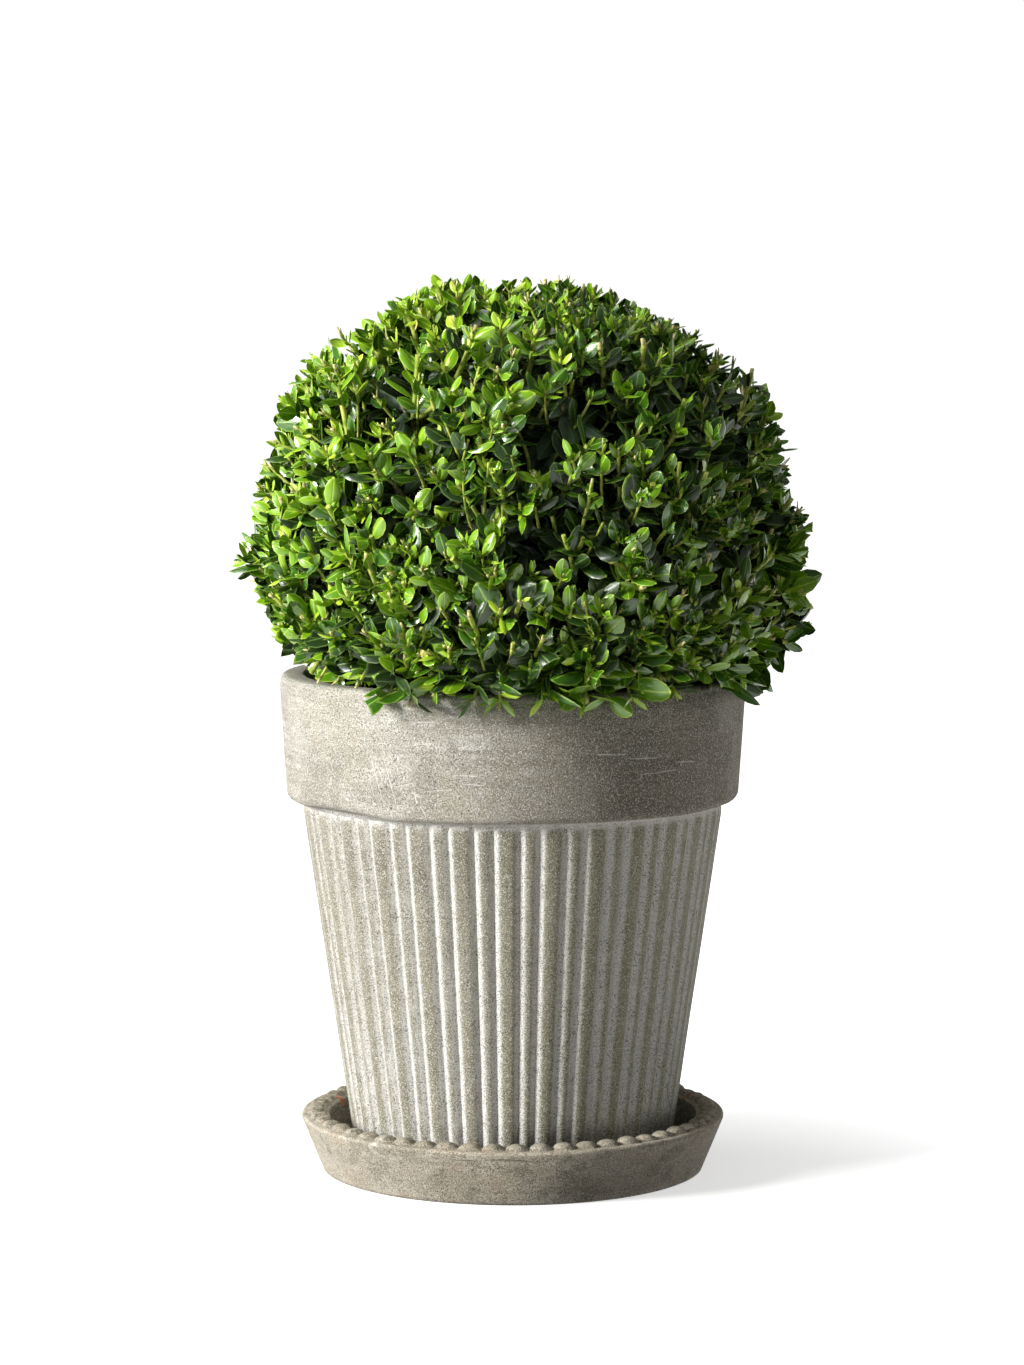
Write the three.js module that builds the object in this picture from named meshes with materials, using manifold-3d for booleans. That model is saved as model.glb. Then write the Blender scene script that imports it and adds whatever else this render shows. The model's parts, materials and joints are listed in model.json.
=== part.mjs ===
// Box topiary ball in a ribbed clay planter that stands in a beaded saucer. Millimetres, +Z up.
// The origin is the middle of the saucer's underside, and the front of the plant faces -Y.
import * as THREE from 'three';
import { mergeVertices } from 'three/addons/utils/BufferGeometryUtils.js';
import Module from 'manifold-3d';

const wasm = await Module();
wasm.setup();
const deg = THREE.MathUtils.degToRad;

// ---- Driving dimensions: mm, and degrees where named so ----
const GAP = 0.3; // clear space between neighbouring pieces

const SAUCER = { foot: 103.3, rim: 114.1, edge: 1.2, floor: 9.7, innerFoot: 95, top: 29.6 };
const BEADS = { count: 54, facets: 3, firstDeg: 1.2, radius: 106, width: 8.6, height: 3.6 };

const POT = { foot: 10, top: 268.7, wall: 13, floor: 14, floorRound: 6, lipChamfer: 3 };
const BAND = { foot: 201.5, topRadius: 125, footRadius: 121.5, round: 5 };
const BODY = { footRadius: 85.3, topRadius: 113.5 }; // on the crests of the ribs
const RIBS = { pairs: 29, wideDeg: 7.1, firstDeg: -5.2, depth: 2.6, wideSteps: 4, narrowSteps: 3 };
const NARROW_RISE = 0.9; // narrow ribs stand this share as high as wide ones
const RIB_END = 5; // the ribs round off over this height under the band

const SOIL = { top: 231, crown: 5, clear: 0.9, moundRadius: 17 };
const STEM = { top: 246, radius: 9, flare: 13, flareHeight: 6, lean: 2, flutes: 5, fluting: 0.07 };

// The clipped ball is a superellipsoid about its heart, which is a little to one side of the stem.
// Its lower part is swept further that way. The core is the dense inside, which leaves stand out of.
const HEART = new THREE.Vector3(8, 0, 311);
const SWEEP = 0.2;
const POWER = 2.6;
const BALL = { across: 151, up: 167, down: 63, swell: 0.018 };
const CORE = { across: 137, up: 153, down: 60, swell: 0.03, detail: 4, rough: 3 };
const OVER_RIM = { inset: 20, clear: 8 }; // the core rises by the second over the rim and beside it

const STUB = { radius: 7, height: 22 };
const BOUGHS = { count: 11, lowest: -0.1, reach: 0.55, radius: 4 };
const TWIGS = { count: 88, lowest: -0.26, reach: 0.95, lift: 0.16, length: 31, root: 2.1, tip: 1.2 };
const SKIRT = { count: 17, height: -0.21 }; // an extra ring of twigs just over the rim
const LEAF = { length: 28, width: 14, thick: 1.3, cup: 2.2, sink: 1.6, widest: 0.47 };
const SPRAY = { pairs: 2, step: 8.5, splayDeg: 48, spreadDeg: 30, spacing: 11, tries: 5, rimTries: 12 };
const WANDER = 0.1; // how far a twig's direction strays
const SLIVER = 0.05; // finer detail than this is dropped where leaves are fused
const SEED = 20;

// ---- Solids from three.js shapes ----
function solid(shape) {
  shape.deleteAttribute('normal');
  shape.deleteAttribute('uv');
  const welded = mergeVertices(shape, 1e-4);
  const corners = welded.index.array;
  const kept = [];
  for (let i = 0; i < corners.length; i += 3) {
    const [a, b, c] = corners.slice(i, i + 3);
    if (a !== b && b !== c && c !== a) kept.push(a, b, c);
  }
  return new wasm.Manifold(new wasm.Mesh({
    numProp: 3,
    vertProperties: Float32Array.from(welded.attributes.position.array),
    triVerts: Uint32Array.from(kept),
  }));
}

function mesh(name, body, look) {
  const { numProp, vertProperties, triVerts } = body.getMesh();
  const shape = new THREE.BufferGeometry();
  shape.setAttribute('position', new THREE.BufferAttribute(Float32Array.from(vertProperties), numProp));
  shape.setIndex(new THREE.BufferAttribute(Uint32Array.from(triVerts), 1));
  shape.computeVertexNormals();
  const part = new THREE.Mesh(shape, new THREE.MeshStandardMaterial(look));
  part.name = name;
  return part;
}

// A turned shape from [radius, height] stations, up the outside and back to the axis.
function turned(stations, segments) {
  const profile = stations.map(([radius, height]) => new THREE.Vector2(radius, height));
  return new THREE.LatheGeometry(profile, segments).rotateX(Math.PI / 2);
}

// Stations round a corner of a turned shape.
function rounded(centreRadius, centreHeight, radius, fromDeg, toDeg, steps) {
  return Array.from({ length: steps + 1 }, (_, i) => {
    const turn = deg(fromDeg + ((toDeg - fromDeg) * i) / steps);
    return [centreRadius + radius * Math.cos(turn), centreHeight + radius * Math.sin(turn)];
  });
}

const mix = (from, to, share) => from + (to - from) * share;

// ---- Saucer: a shallow dish whose rim carries a ring of low beads ----
function saucer() {
  const stations = [
    [0, 0],
    [SAUCER.foot - SAUCER.edge, 0],
    [SAUCER.foot, SAUCER.edge],
    [SAUCER.rim, SAUCER.top - SAUCER.edge],
    [BEADS.radius + BEADS.width / 2, SAUCER.top],
    [BEADS.radius, SAUCER.top + BEADS.height],
    [BEADS.radius - BEADS.width / 2, SAUCER.top],
    [SAUCER.innerFoot, SAUCER.floor],
    [0, SAUCER.floor],
  ];
  const crest = stations.findIndex(([, height]) => height > SAUCER.top);
  const dish = turned(stations, BEADS.count * BEADS.facets);
  const points = dish.attributes.position;
  for (let i = crest; i < points.count; i += stations.length) {
    const facet = Math.floor(i / stations.length) % BEADS.facets;
    const rise = Math.sqrt(Math.sin((Math.PI * facet) / BEADS.facets));
    points.setZ(i, SAUCER.top + BEADS.height * rise);
  }
  return solid(dish.rotateZ(deg(BEADS.firstDeg + 180 / BEADS.count)));
}

// ---- Pot: a tapered body with wide and narrow ribs by turns, under a plain band ----
const bodyRadius = (z) => mix(
  BODY.footRadius, BODY.topRadius, (z - POT.foot) / (BAND.foot - POT.foot));
const innerRadius = (z) => bodyRadius(z) - POT.wall;
const mouthRadius = innerRadius(POT.top);

// Each rib is a convex arch between two sharp valleys, and its top end is rounded off.
function ribbedBody() {
  const steps = RIBS.wideSteps + RIBS.narrowSteps;
  const segments = RIBS.pairs * steps;
  const periodDeg = 360 / RIBS.pairs;
  const levels = [
    { z: POT.foot, full: 0.9 },
    { z: BAND.foot - RIB_END, full: 1 },
    { z: BAND.foot + GAP, full: 0.1 },
  ];
  const stations = levels.map(({ z }) => [bodyRadius(z), z]);
  const body = turned([[0, POT.foot], ...stations, [0, BAND.foot + GAP]], segments);
  const points = body.attributes.position;
  const perSegment = stations.length + 2;
  for (let i = 0; i < points.count; i += 1) {
    const level = levels[(i % perSegment) - 1];
    if (level) {
      const segment = Math.floor(i / perSegment) % segments;
      const step = segment % steps;
      const wide = step < RIBS.wideSteps;
      const along = wide ? step / RIBS.wideSteps : (step - RIBS.wideSteps) / RIBS.narrowSteps;
      const within = wide ? along * RIBS.wideDeg : mix(RIBS.wideDeg, periodDeg, along);
      const turn = deg(RIBS.firstDeg + Math.floor(segment / steps) * periodDeg + within);
      const arch = Math.sqrt(Math.sin(Math.PI * along)) * (wide ? 1 : NARROW_RISE);
      const radius = bodyRadius(level.z) - RIBS.depth * (1 - arch * level.full);
      points.setXYZ(i, radius * Math.sin(turn), -radius * Math.cos(turn), level.z);
    }
  }
  return solid(body);
}

function pot() {
  const { round } = BAND;
  const band = turned([
    [0, BAND.foot],
    ...rounded(BAND.footRadius - round, BAND.foot + round, round, -90, 0, 2),
    ...rounded(BAND.topRadius - round, POT.top - round, round, 0, 90, 2),
    [0, POT.top],
  ], 64);
  const floor = POT.foot + POT.floor;
  const chamferFoot = POT.top - POT.lipChamfer;
  const hollow = turned([
    [0, floor],
    [innerRadius(floor) - POT.floorRound, floor],
    [innerRadius(floor), floor + POT.floorRound],
    [innerRadius(chamferFoot), chamferFoot],
    [mouthRadius + POT.lipChamfer, POT.top + GAP],
    [0, POT.top + GAP],
  ], 48);
  return ribbedBody().add(solid(band)).subtract(solid(hollow));
}

// ---- Soil: fills the pot to a low crown round the stem ----
function soil() {
  const floor = POT.foot + POT.floor + GAP;
  const top = SOIL.top - SOIL.crown;
  return solid(turned([
    [0, floor],
    [innerRadius(floor) - POT.floorRound - SOIL.clear, floor],
    [innerRadius(floor) - SOIL.clear, floor + POT.floorRound],
    [innerRadius(top) - SOIL.clear, top],
    [SOIL.moundRadius, SOIL.top],
    [0, SOIL.top],
  ], 32));
}

// ---- Stem: short, fluted, flared where it stands on the soil ----
function stem() {
  const foot = SOIL.top + GAP;
  const shape = turned([
    [0, foot],
    [STEM.flare, foot],
    [STEM.radius, foot + STEM.flareHeight],
    [STEM.radius, STEM.top],
    [0, STEM.top],
  ], STEM.flutes * 3);
  const points = shape.attributes.position;
  for (let i = 0; i < points.count; i += 1) {
    const x = points.getX(i);
    const y = points.getY(i);
    const fluted = 1 + STEM.fluting * Math.cos(STEM.flutes * Math.atan2(y, x));
    const lean = (STEM.lean * (points.getZ(i) - foot)) / (STEM.top - foot);
    points.setXY(i, x * fluted + lean, y * fluted);
  }
  return solid(shape);
}

// ---- The ball's face ----
// Low swells by direction, from -1 to 1.
const swell = ({ x, y, z }) => (Math.sin(4.1 * x + 1.7 * y + 0.6)
  + Math.sin(3.3 * y - 4.7 * z + 2.1) + Math.sin(5.3 * z + 2.9 * x + 4.0)) / 3;

// Distance from the heart to the face of the ball, or of its core, along a unit direction.
function reach(way, ball) {
  const across = Math.hypot(way.x, way.y) / ball.across;
  const height = Math.abs(way.z) / (way.z > 0 ? ball.up : ball.down);
  const plain = (across ** POWER + height ** POWER) ** (-1 / POWER);
  return plain * (1 + ball.swell * swell(way));
}

const swept = (point, hand) => point.setX(
  point.x + hand * SWEEP * Math.max(0, HEART.z - point.z));

const onFace = (way, ball, share) => swept(
  way.clone().multiplyScalar(reach(way, ball) * share).add(HEART), 1);

// Whether a point keeps to the ball's own space: inside its face, and off the pot and the soil.
function pointIsFree(point) {
  const way = swept(point.clone(), -1).sub(HEART);
  const far = way.length();
  way.normalize();
  const droop = way.z < -0.2; // leaves at the foot of the ball may hang over the rim
  const round = Math.hypot(point.x, point.y);
  const overPot = point.z > POT.top + 1.5;
  const besideWall = round < mouthRadius - 2 || round > BAND.topRadius + 1;
  const overSoil = point.z > SOIL.top + 3;
  return far < reach(way, BALL) * (droop ? 1.1 : 1.025)
    && (overPot || (besideWall && point.z > POT.top - 12))
    && (overSoil || round > mouthRadius);
}

function isFree(shape) {
  const points = (shape.index ? shape.toNonIndexed() : shape).attributes.position;
  const corner = (i) => new THREE.Vector3().fromBufferAttribute(points, i);
  const stops = 8;
  for (let i = 0; i < points.count; i += 1) {
    const next = corner(i % 3 === 2 ? i - 2 : i + 1);
    for (let stop = 0; stop < stops; stop += 1) {
      if (!pointIsFree(corner(i).lerp(next, stop / stops))) return false;
    }
  }
  return true;
}

// ---- Growth: one stem, boughs, twigs and opposite leaves, by a seeded rule ----
function seeded(seed) {
  let state = seed;
  return () => {
    state = (state * 1664525 + 1013904223) % 4294967296;
    return state / 4294967296;
  };
}

// Even directions over the part of a sphere that is above a lowest height.
function evenWay(index, count, lowest) {
  const z = 1 - ((1 - lowest) * (index + 0.5)) / count;
  const turn = index * Math.PI * (3 - Math.sqrt(5));
  const flat = Math.sqrt(1 - z * z);
  return new THREE.Vector3(flat * Math.cos(turn), flat * Math.sin(turn), z);
}

const evenWays = ({ count, lowest }) => Array.from({ length: count }, (_, i) => (
  evenWay(i, count, lowest)));

function skirtWays() {
  return Array.from({ length: SKIRT.count }, (_, i) => {
    const turn = (2 * Math.PI * i) / SKIRT.count;
    return new THREE.Vector3(Math.cos(turn), Math.sin(turn), SKIRT.height).normalize();
  });
}

// A straight tapered limb of a few sides from one point to another.
function limb(from, to, rootRadius, tipRadius, sides) {
  const along = to.clone().sub(from);
  const length = along.length();
  const turn = new THREE.Quaternion().setFromUnitVectors(
    new THREE.Vector3(0, 1, 0), along.normalize());
  return new THREE.CylinderGeometry(tipRadius, rootRadius, length, sides)
    .translate(0, length / 2, 0).applyQuaternion(turn).translate(from.x, from.y, from.z);
}

// A leaf of eight faces: a root, a tip, two cupped sides and a thin middle.
function leafShape(root, way, face, size) {
  const side = new THREE.Vector3().crossVectors(face, way).normalize();
  const up = new THREE.Vector3().crossVectors(way, side);
  const shape = new THREE.OctahedronGeometry(1);
  const points = shape.attributes.position;
  for (let i = 0; i < points.count; i += 1) {
    const [x, y, z] = [points.getX(i), points.getY(i), points.getZ(i)];
    const along = x === 0 ? LEAF.widest : (x + 1) / 2;
    const spot = root.clone()
      .addScaledVector(way, along * LEAF.length * size)
      .addScaledVector(side, (y * LEAF.width * size) / 2)
      .addScaledVector(up, (z * LEAF.thick) / 2 + Math.abs(y) * LEAF.cup * size);
    points.setXYZ(i, spot.x, spot.y, spot.z);
  }
  return shape;
}

// The dense inside of the ball, roughly faceted, which rises over the rim where it passes it.
function coreShape() {
  const shape = new THREE.IcosahedronGeometry(1, CORE.detail);
  const points = shape.attributes.position;
  for (let i = 0; i < points.count; i += 1) {
    const way = new THREE.Vector3().fromBufferAttribute(points, i).normalize();
    const spot = onFace(way, CORE, 1);
    if (way.z > 0) {
      spot.addScaledVector(way, CORE.rough * Math.sin(91 * way.x + 57 * way.y + 73 * way.z));
    }
    if (Math.hypot(spot.x, spot.y) > mouthRadius - OVER_RIM.inset) {
      spot.z = Math.max(spot.z, POT.top + OVER_RIM.clear);
    }
    points.setXYZ(i, spot.x, spot.y, spot.z);
  }
  return shape;
}

function foliage() {
  const random = seeded(SEED);
  const stray = () => new THREE.Vector3(random() - 0.5, random() - 0.5, random() - 0.5);

  const head = new THREE.Vector3(STEM.lean, 0, STEM.top + GAP);
  const fork = head.clone().setZ(head.z + STUB.height);
  const boughTips = evenWays(BOUGHS).map((way) => onFace(way, BALL, BOUGHS.reach));
  const pieces = [
    coreShape(),
    limb(head, fork, STUB.radius, STUB.radius, 8),
    ...boughTips.map((tip) => limb(fork, tip, BOUGHS.radius, TWIGS.root, 5)),
  ];

  // Each twig springs from the nearest bough and turns up a little towards its tip.
  // A twig or leaf that would leave the ball's space is left out.
  const middles = [];
  [...evenWays(TWIGS), ...skirtWays()].forEach((way, i) => {
    way.addScaledVector(stray(), WANDER).normalize();
    const rise = way.clone().setZ(mix(way.z, 1, TWIGS.lift)).normalize();
    const tip = onFace(way, BALL, TWIGS.reach - 0.05 * random());
    const knee = tip.clone().addScaledVector(rise, -TWIGS.length);
    const root = boughTips.reduce((a, b) => (a.distanceTo(knee) < b.distanceTo(knee) ? a : b));
    const twig = [
      limb(root, knee, TWIGS.root, TWIGS.root, 3),
      limb(knee, tip, TWIGS.root, TWIGS.tip, 3),
    ];
    if (!twig.every(isFree)) return;
    pieces.push(...twig);

    // Opposite leaves in pairs, each pair a quarter turn round from the last.
    const tries = i < TWIGS.count ? SPRAY.tries : SPRAY.rimTries;
    const across = stray().cross(rise).normalize();
    for (let pair = 0; pair < SPRAY.pairs; pair += 1) {
      across.applyAxisAngle(rise, Math.PI / 2);
      const joint = tip.clone().addScaledVector(rise, -LEAF.sink - pair * SPRAY.step);
      for (const hand of [-1, 1]) {
        for (let attempt = 1; attempt <= tries; attempt += 1) {
          const splay = deg(SPRAY.splayDeg + SPRAY.spreadDeg * (random() - 0.5) * attempt);
          const leafWay = rise.clone().multiplyScalar(Math.cos(splay))
            .addScaledVector(across, hand * Math.sin(splay));
          const leaf = leafShape(joint, leafWay, rise, 0.85 + 0.3 * random());
          const middle = joint.clone().addScaledVector(leafWay, LEAF.length / 2);
          const apart = middles.every((other) => other.distanceTo(middle) > SPRAY.spacing);
          if (apart && isFree(leaf)) {
            pieces.push(leaf);
            middles.push(middle);
            break;
          }
        }
      }
    }
  });

  const bodies = wasm.Manifold.union(pieces.map(solid)).simplify(SLIVER).decompose();
  return bodies.reduce((a, b) => (a.volume() > b.volume() ? a : b));
}

const group = new THREE.Group();
group.name = 'potted_box_topiary_ball';
group.add(
  mesh('saucer', saucer(), { color: 0x9c9282, roughness: 0.92 }),
  mesh('pot', pot(), { color: 0xa9a294, roughness: 0.9 }),
  mesh('soil', soil(), { color: 0x3a2a1e, roughness: 1 }),
  mesh('stem', stem(), { color: 0x8a7355, roughness: 0.85 }),
  mesh('foliage', foliage(), { color: 0x4a8a24, roughness: 0.6 }),
);

export default group;
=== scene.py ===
# %% [markdown]
# # A clipped box ball in a ribbed clay planter
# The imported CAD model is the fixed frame: it gives every size and place. This file dresses it.
# The pot and its saucer are turned again with finer ribs, beads and wear, and the one green mass
# is replaced by a real shrub: a stem, boughs, twigs, over a thousand shoots, and their leaves.

# %% Load the frame
import json
import math
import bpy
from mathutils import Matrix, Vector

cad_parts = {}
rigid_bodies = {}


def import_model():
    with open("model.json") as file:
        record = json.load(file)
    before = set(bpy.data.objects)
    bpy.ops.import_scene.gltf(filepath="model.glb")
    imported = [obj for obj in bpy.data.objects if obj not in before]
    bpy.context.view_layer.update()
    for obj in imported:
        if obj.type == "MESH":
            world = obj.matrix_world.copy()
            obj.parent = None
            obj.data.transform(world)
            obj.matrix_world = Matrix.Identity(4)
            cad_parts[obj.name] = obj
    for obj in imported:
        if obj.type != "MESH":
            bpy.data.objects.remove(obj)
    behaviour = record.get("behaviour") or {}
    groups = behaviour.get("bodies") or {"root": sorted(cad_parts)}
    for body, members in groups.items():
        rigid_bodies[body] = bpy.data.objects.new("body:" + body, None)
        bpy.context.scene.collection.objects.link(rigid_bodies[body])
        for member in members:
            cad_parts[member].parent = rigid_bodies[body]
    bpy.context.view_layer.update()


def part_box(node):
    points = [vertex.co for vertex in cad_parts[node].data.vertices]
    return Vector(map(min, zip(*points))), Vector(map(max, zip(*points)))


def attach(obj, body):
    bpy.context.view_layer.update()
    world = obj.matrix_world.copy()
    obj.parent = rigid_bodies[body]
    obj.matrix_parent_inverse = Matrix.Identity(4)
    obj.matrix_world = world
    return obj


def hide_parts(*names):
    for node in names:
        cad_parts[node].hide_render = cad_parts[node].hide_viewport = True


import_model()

import types
import bpy
import numpy as np
from mathutils import Vector

MM = 0.001

# %% [markdown]
# ## Nodes written as arithmetic
# Both shapes and finishes are worked out in node trees. Adding each Math node by hand hides the
# formula, so a Wire wraps a socket and takes part in Python arithmetic, and a Plan adds every other
# node from its type, its settings and its sockets. The same two classes serve both kinds of tree.

# %% Wire
class Wire:
    """A node output that Python arithmetic can use: each operator adds its Math node."""

    def __init__(self, plan, socket):
        self.plan, self.socket = plan, socket

    def math(self, operation, *others):
        sockets = dict(enumerate((self, *others)))
        return self.plan.add("ShaderNodeMath", {"operation": operation}, sockets)

    def between(self, low, high, to_low=0.0, to_high=1.0):
        """This value carried from one range to another, smoothly, and held at its ends."""
        return self.plan.add("ShaderNodeMapRange", {"interpolation_type": "SMOOTHSTEP"},
                             {0: self, 1: low, 2: high, 3: to_low, 4: to_high})

    def fading(self, low, high):
        """1 up to low, and 0 from high on."""
        return self.between(low, high, 1.0, 0.0)


def operator(operation, reflected=False):
    def apply(wire, other):
        pair = {0: other, 1: wire} if reflected else {0: wire, 1: other}
        return wire.plan.add("ShaderNodeMath", {"operation": operation}, pair)
    return apply


for sign, operation in {"add": "ADD", "sub": "SUBTRACT", "mul": "MULTIPLY", "truediv": "DIVIDE"}.items():
    setattr(Wire, f"__{sign}__", operator(operation))
    setattr(Wire, f"__r{sign}__", operator(operation, reflected=True))
for sign, operation in {"pow": "POWER", "gt": "GREATER_THAN", "lt": "LESS_THAN"}.items():
    setattr(Wire, f"__{sign}__", operator(operation))


# %% Plan
class Plan:
    """A node tree under construction."""

    def __init__(self, tree):
        self.tree = tree

    def add(self, kind, settings=None, sockets=None, out=0):
        node = self.tree.nodes.new(kind)
        for name, value in (settings or {}).items():
            setattr(node, name, value)
        for key, value in (sockets or {}).items():
            socket = node.inputs[key] if isinstance(key, int) else next(
                s for s in node.inputs if key in (s.identifier, s.name) and s.enabled)
            if isinstance(value, Wire):
                self.tree.links.new(value.socket, socket)
            else:
                socket.default_value = value
        return Wire(self, node.outputs[out])

    def close(self, kind, last):
        """Links the last node to a new output node."""
        self.tree.links.new(last.socket, self.tree.nodes.new(kind).inputs[0])

    def split(self, vector):
        node = self.add("ShaderNodeSeparateXYZ", {}, {0: vector}).socket.node
        return [Wire(self, socket) for socket in node.outputs]

    def join(self, x, y, z):
        return self.add("ShaderNodeCombineXYZ", {}, {0: x, 1: y, 2: z})

    def stretch(self, vector, factors):
        return self.add("ShaderNodeVectorMath", {"operation": "MULTIPLY"}, {0: vector, 1: factors})

    def noise(self, vector, scale, detail=2.0, roughness=0.5):
        return self.add("ShaderNodeTexNoise", {}, {
            "Vector": vector, "Scale": scale, "Detail": detail, "Roughness": roughness})

    def blend(self, factor, below, above, mode="MIX"):
        """Mixes two colours."""
        return self.add("ShaderNodeMix", {"data_type": "RGBA", "blend_type": mode}, {
            "Factor_Float": factor, "A_Color": below, "B_Color": above}, out=2)

    def painted(self, name):
        """A number that a shape's tree has stored on the piece, for a finish."""
        return self.add("ShaderNodeAttribute", {"attribute_name": name}, out=2)

    def read(self, name, kind="FLOAT"):
        """A number or vector stored on the carrier, for a shape."""
        return self.add("GeometryNodeInputNamedAttribute", {"data_type": kind}, {"Name": name})

    def store(self, geometry, **values):
        for name, value in values.items():
            geometry = self.add("GeometryNodeStoreNamedAttribute", {"data_type": "FLOAT", "domain": "POINT"},
                                {"Geometry": geometry, "Name": name, "Value": value})
        return geometry

    def move(self, geometry, offset, **more):
        return self.add("GeometryNodeSetPosition", {}, {"Geometry": geometry, "Offset": offset, **more})


def bearing(x, y):
    """Degrees round the axis from the front."""
    return x.math("ARCTAN2", y * -1.0) * (180 / math.pi)


def off_axis(x, y):
    return (x * x + y * y).math("SQRT")


# %% [markdown]
# ## Meshes and the way a tree is run
# A Geometry Nodes tree here reads a plain carrier mesh, such as a turned wall or a cloud of points
# with attributes. Its result is taken as a plain mesh and the modifier goes, so that every piece
# sits at the origin with its place in its mesh.

# %% Carriers and trees
def plain_mesh(name, points, faces=(), edges=(), **attributes):
    """A mesh from points in millimetres, with float or vector attributes on its points."""
    made = bpy.data.meshes.new(name)
    made.from_pydata((np.asarray(points, float) * MM).tolist(), list(edges), list(faces))
    for label, values in attributes.items():
        values = np.asarray(values, np.float32)
        kind, field = ("FLOAT", "value") if values.ndim == 1 else ("FLOAT_VECTOR", "vector")
        made.attributes.new(label, kind, "POINT").data.foreach_set(field, values.ravel())
    made.update()
    return made


def placed(name, data):
    """A new object in the scene."""
    thing = bpy.data.objects.new(name, data)
    bpy.context.scene.collection.objects.link(thing)
    return thing


KINDS = {float: "NodeSocketFloat", int: "NodeSocketInt", type(None): "NodeSocketCollection"}


def new_tree(name, **inputs):
    """An empty Geometry Nodes tree. Its named inputs take their kind from their defaults."""
    tree = bpy.data.node_groups.new(name, "GeometryNodeTree")
    for in_out in ("INPUT", "OUTPUT"):
        tree.interface.new_socket(name="geometry", in_out=in_out, socket_type="NodeSocketGeometry")
    for label, default in inputs.items():
        socket = tree.interface.new_socket(name=label, in_out="INPUT", socket_type=KINDS[type(default)])
        if default is not None:
            socket.default_value = default
    plan = Plan(tree)
    entry = tree.nodes.new("NodeGroupInput")
    return plan, types.SimpleNamespace(**{s.name: Wire(plan, s) for s in entry.outputs if s.name})


def close_tree(plan, geometry):
    """Every tree ends with its instances realized and its material set."""
    tree = plan.tree
    real = plan.add("GeometryNodeRealizeInstances", {}, {0: geometry})
    material = tree.interface.new_socket(name="finish", in_out="INPUT", socket_type="NodeSocketMaterial")
    entry = next(n for n in tree.nodes if n.bl_idname == "NodeGroupInput")
    finish = Wire(plan, next(s for s in entry.outputs if s.identifier == material.identifier))
    plan.close("NodeGroupOutput", plan.add("GeometryNodeSetMaterial", {}, {
        "Geometry": real, "Material": finish}))
    return tree


def run_tree(name, tree, carrier, **values):
    """Runs a tree on a carrier mesh and keeps the result as a plain mesh, smooth shaded."""
    piece = placed(name, carrier)
    modifier = piece.modifiers.new("shape", "NODES")
    modifier.node_group = tree
    for item in tree.interface.items_tree:
        if item.in_out == "INPUT" and item.name in values:
            modifier[item.identifier] = values[item.name]
    view = bpy.context.evaluated_depsgraph_get()
    shaped = bpy.data.meshes.new_from_object(
        piece.evaluated_get(view), preserve_all_data_layers=True, depsgraph=view)
    piece.modifiers.remove(modifier)
    piece.data = shaped
    shaped.name = name
    shaped.shade_smooth()
    shaped.calc_loop_triangles()
    print(name, len(shaped.loop_triangles), "triangles")
    return piece


def settle(piece, slot, *replaced):
    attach(piece, "root")
    if replaced:
        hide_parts(*replaced)
    return piece


# %% [markdown]
# ## Turned clay
# The pot and the saucer were both thrown or pressed as turned shapes, so each starts as a profile
# spun round the axis. The turns need not be even: the pot's are set so that a ring of points falls
# in the bottom of each valley between two ribs, which keeps the valleys sharp.

# %% The turning function
def turned(name, stations, turns, flags):
    """Spins [radius, height] stations, which start and end on the axis, through angles from -Y."""
    stations = np.asarray(stations, float)
    inner = stations[1:-1]
    count, rows = len(turns), len(inner)
    ring = np.stack([np.sin(turns), -np.cos(turns)], 1)
    wall = np.empty((count, rows, 3))
    wall[:, :, :2] = ring[:, None, :] * inner[None, :, :1]
    wall[:, :, 2] = inner[None, :, 1]
    points = np.vstack([wall.reshape(-1, 3), [[0, 0, stations[0, 1]], [0, 0, stations[-1, 1]]]])
    faces = []
    for i in range(count):
        a, b = i * rows, (i + 1) % count * rows
        faces += [(a + k, b + k, b + k + 1, a + k + 1) for k in range(rows - 1)]
        faces += [(count * rows, b, a), (count * rows + 1, a + rows - 1, b + rows - 1)]
    zone = np.concatenate([np.tile(np.asarray(flags, float)[1:-1], count), [0, 0]])
    return plain_mesh(name, points, faces, zone=zone)


def arc(centre_radius, centre_height, radius, start, stop, steps):
    angle = np.radians(np.linspace(start, stop, steps + 1))
    return np.stack([centre_radius + radius * np.cos(angle),
                     centre_height + radius * np.sin(angle)], 1).tolist()


def run(from_station, to_station, steps):
    """Stations between two others, without the first."""
    share = np.linspace(0, 1, steps + 1)[1:, None]
    return (np.asarray(from_station) * (1 - share) + np.asarray(to_station) * share).tolist()


# %% Measures of the pot and the saucer, in mm
RIB_PAIRS, WIDE_DEG, FIRST_RIB_DEG = 29, 7.1, -5.2
POT_FOOT, POT_TOP, WALL, FLOOR_THICK = 10.0, 268.7, 13.0, 14.0
BAND_FOOT, BAND_TOP_R, BAND_FOOT_R, BAND_ROUND, LIP_ROUND = 201.5, 125.0, 121.5, 4.4, 3.2
BODY_FOOT_R, BODY_TOP_R = 85.3, 113.5
NECK, NECK_FLARE, NECK_TALL = 2.2, 5.2, 4.5
BEADS, FIRST_BEAD_DEG, BEAD_RING, BEAD_WIDTH, BEAD_HEIGHT = 54, 1.2, 105.8, 8.8, 2.9
SAUCER_TOP, SAUCER_RIM, SAUCER_FOOT, SAUCER_FLOOR, RIM_EDGE = 30.2, 114.1, 103.3, 9.7, 1.6


def body_radius(z):
    return BODY_FOOT_R + (BODY_TOP_R - BODY_FOOT_R) * (z - POT_FOOT) / (BAND_FOOT - POT_FOOT)


print("body", body_radius(POT_FOOT), "to", body_radius(POT_TOP), "mm in radius")

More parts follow.
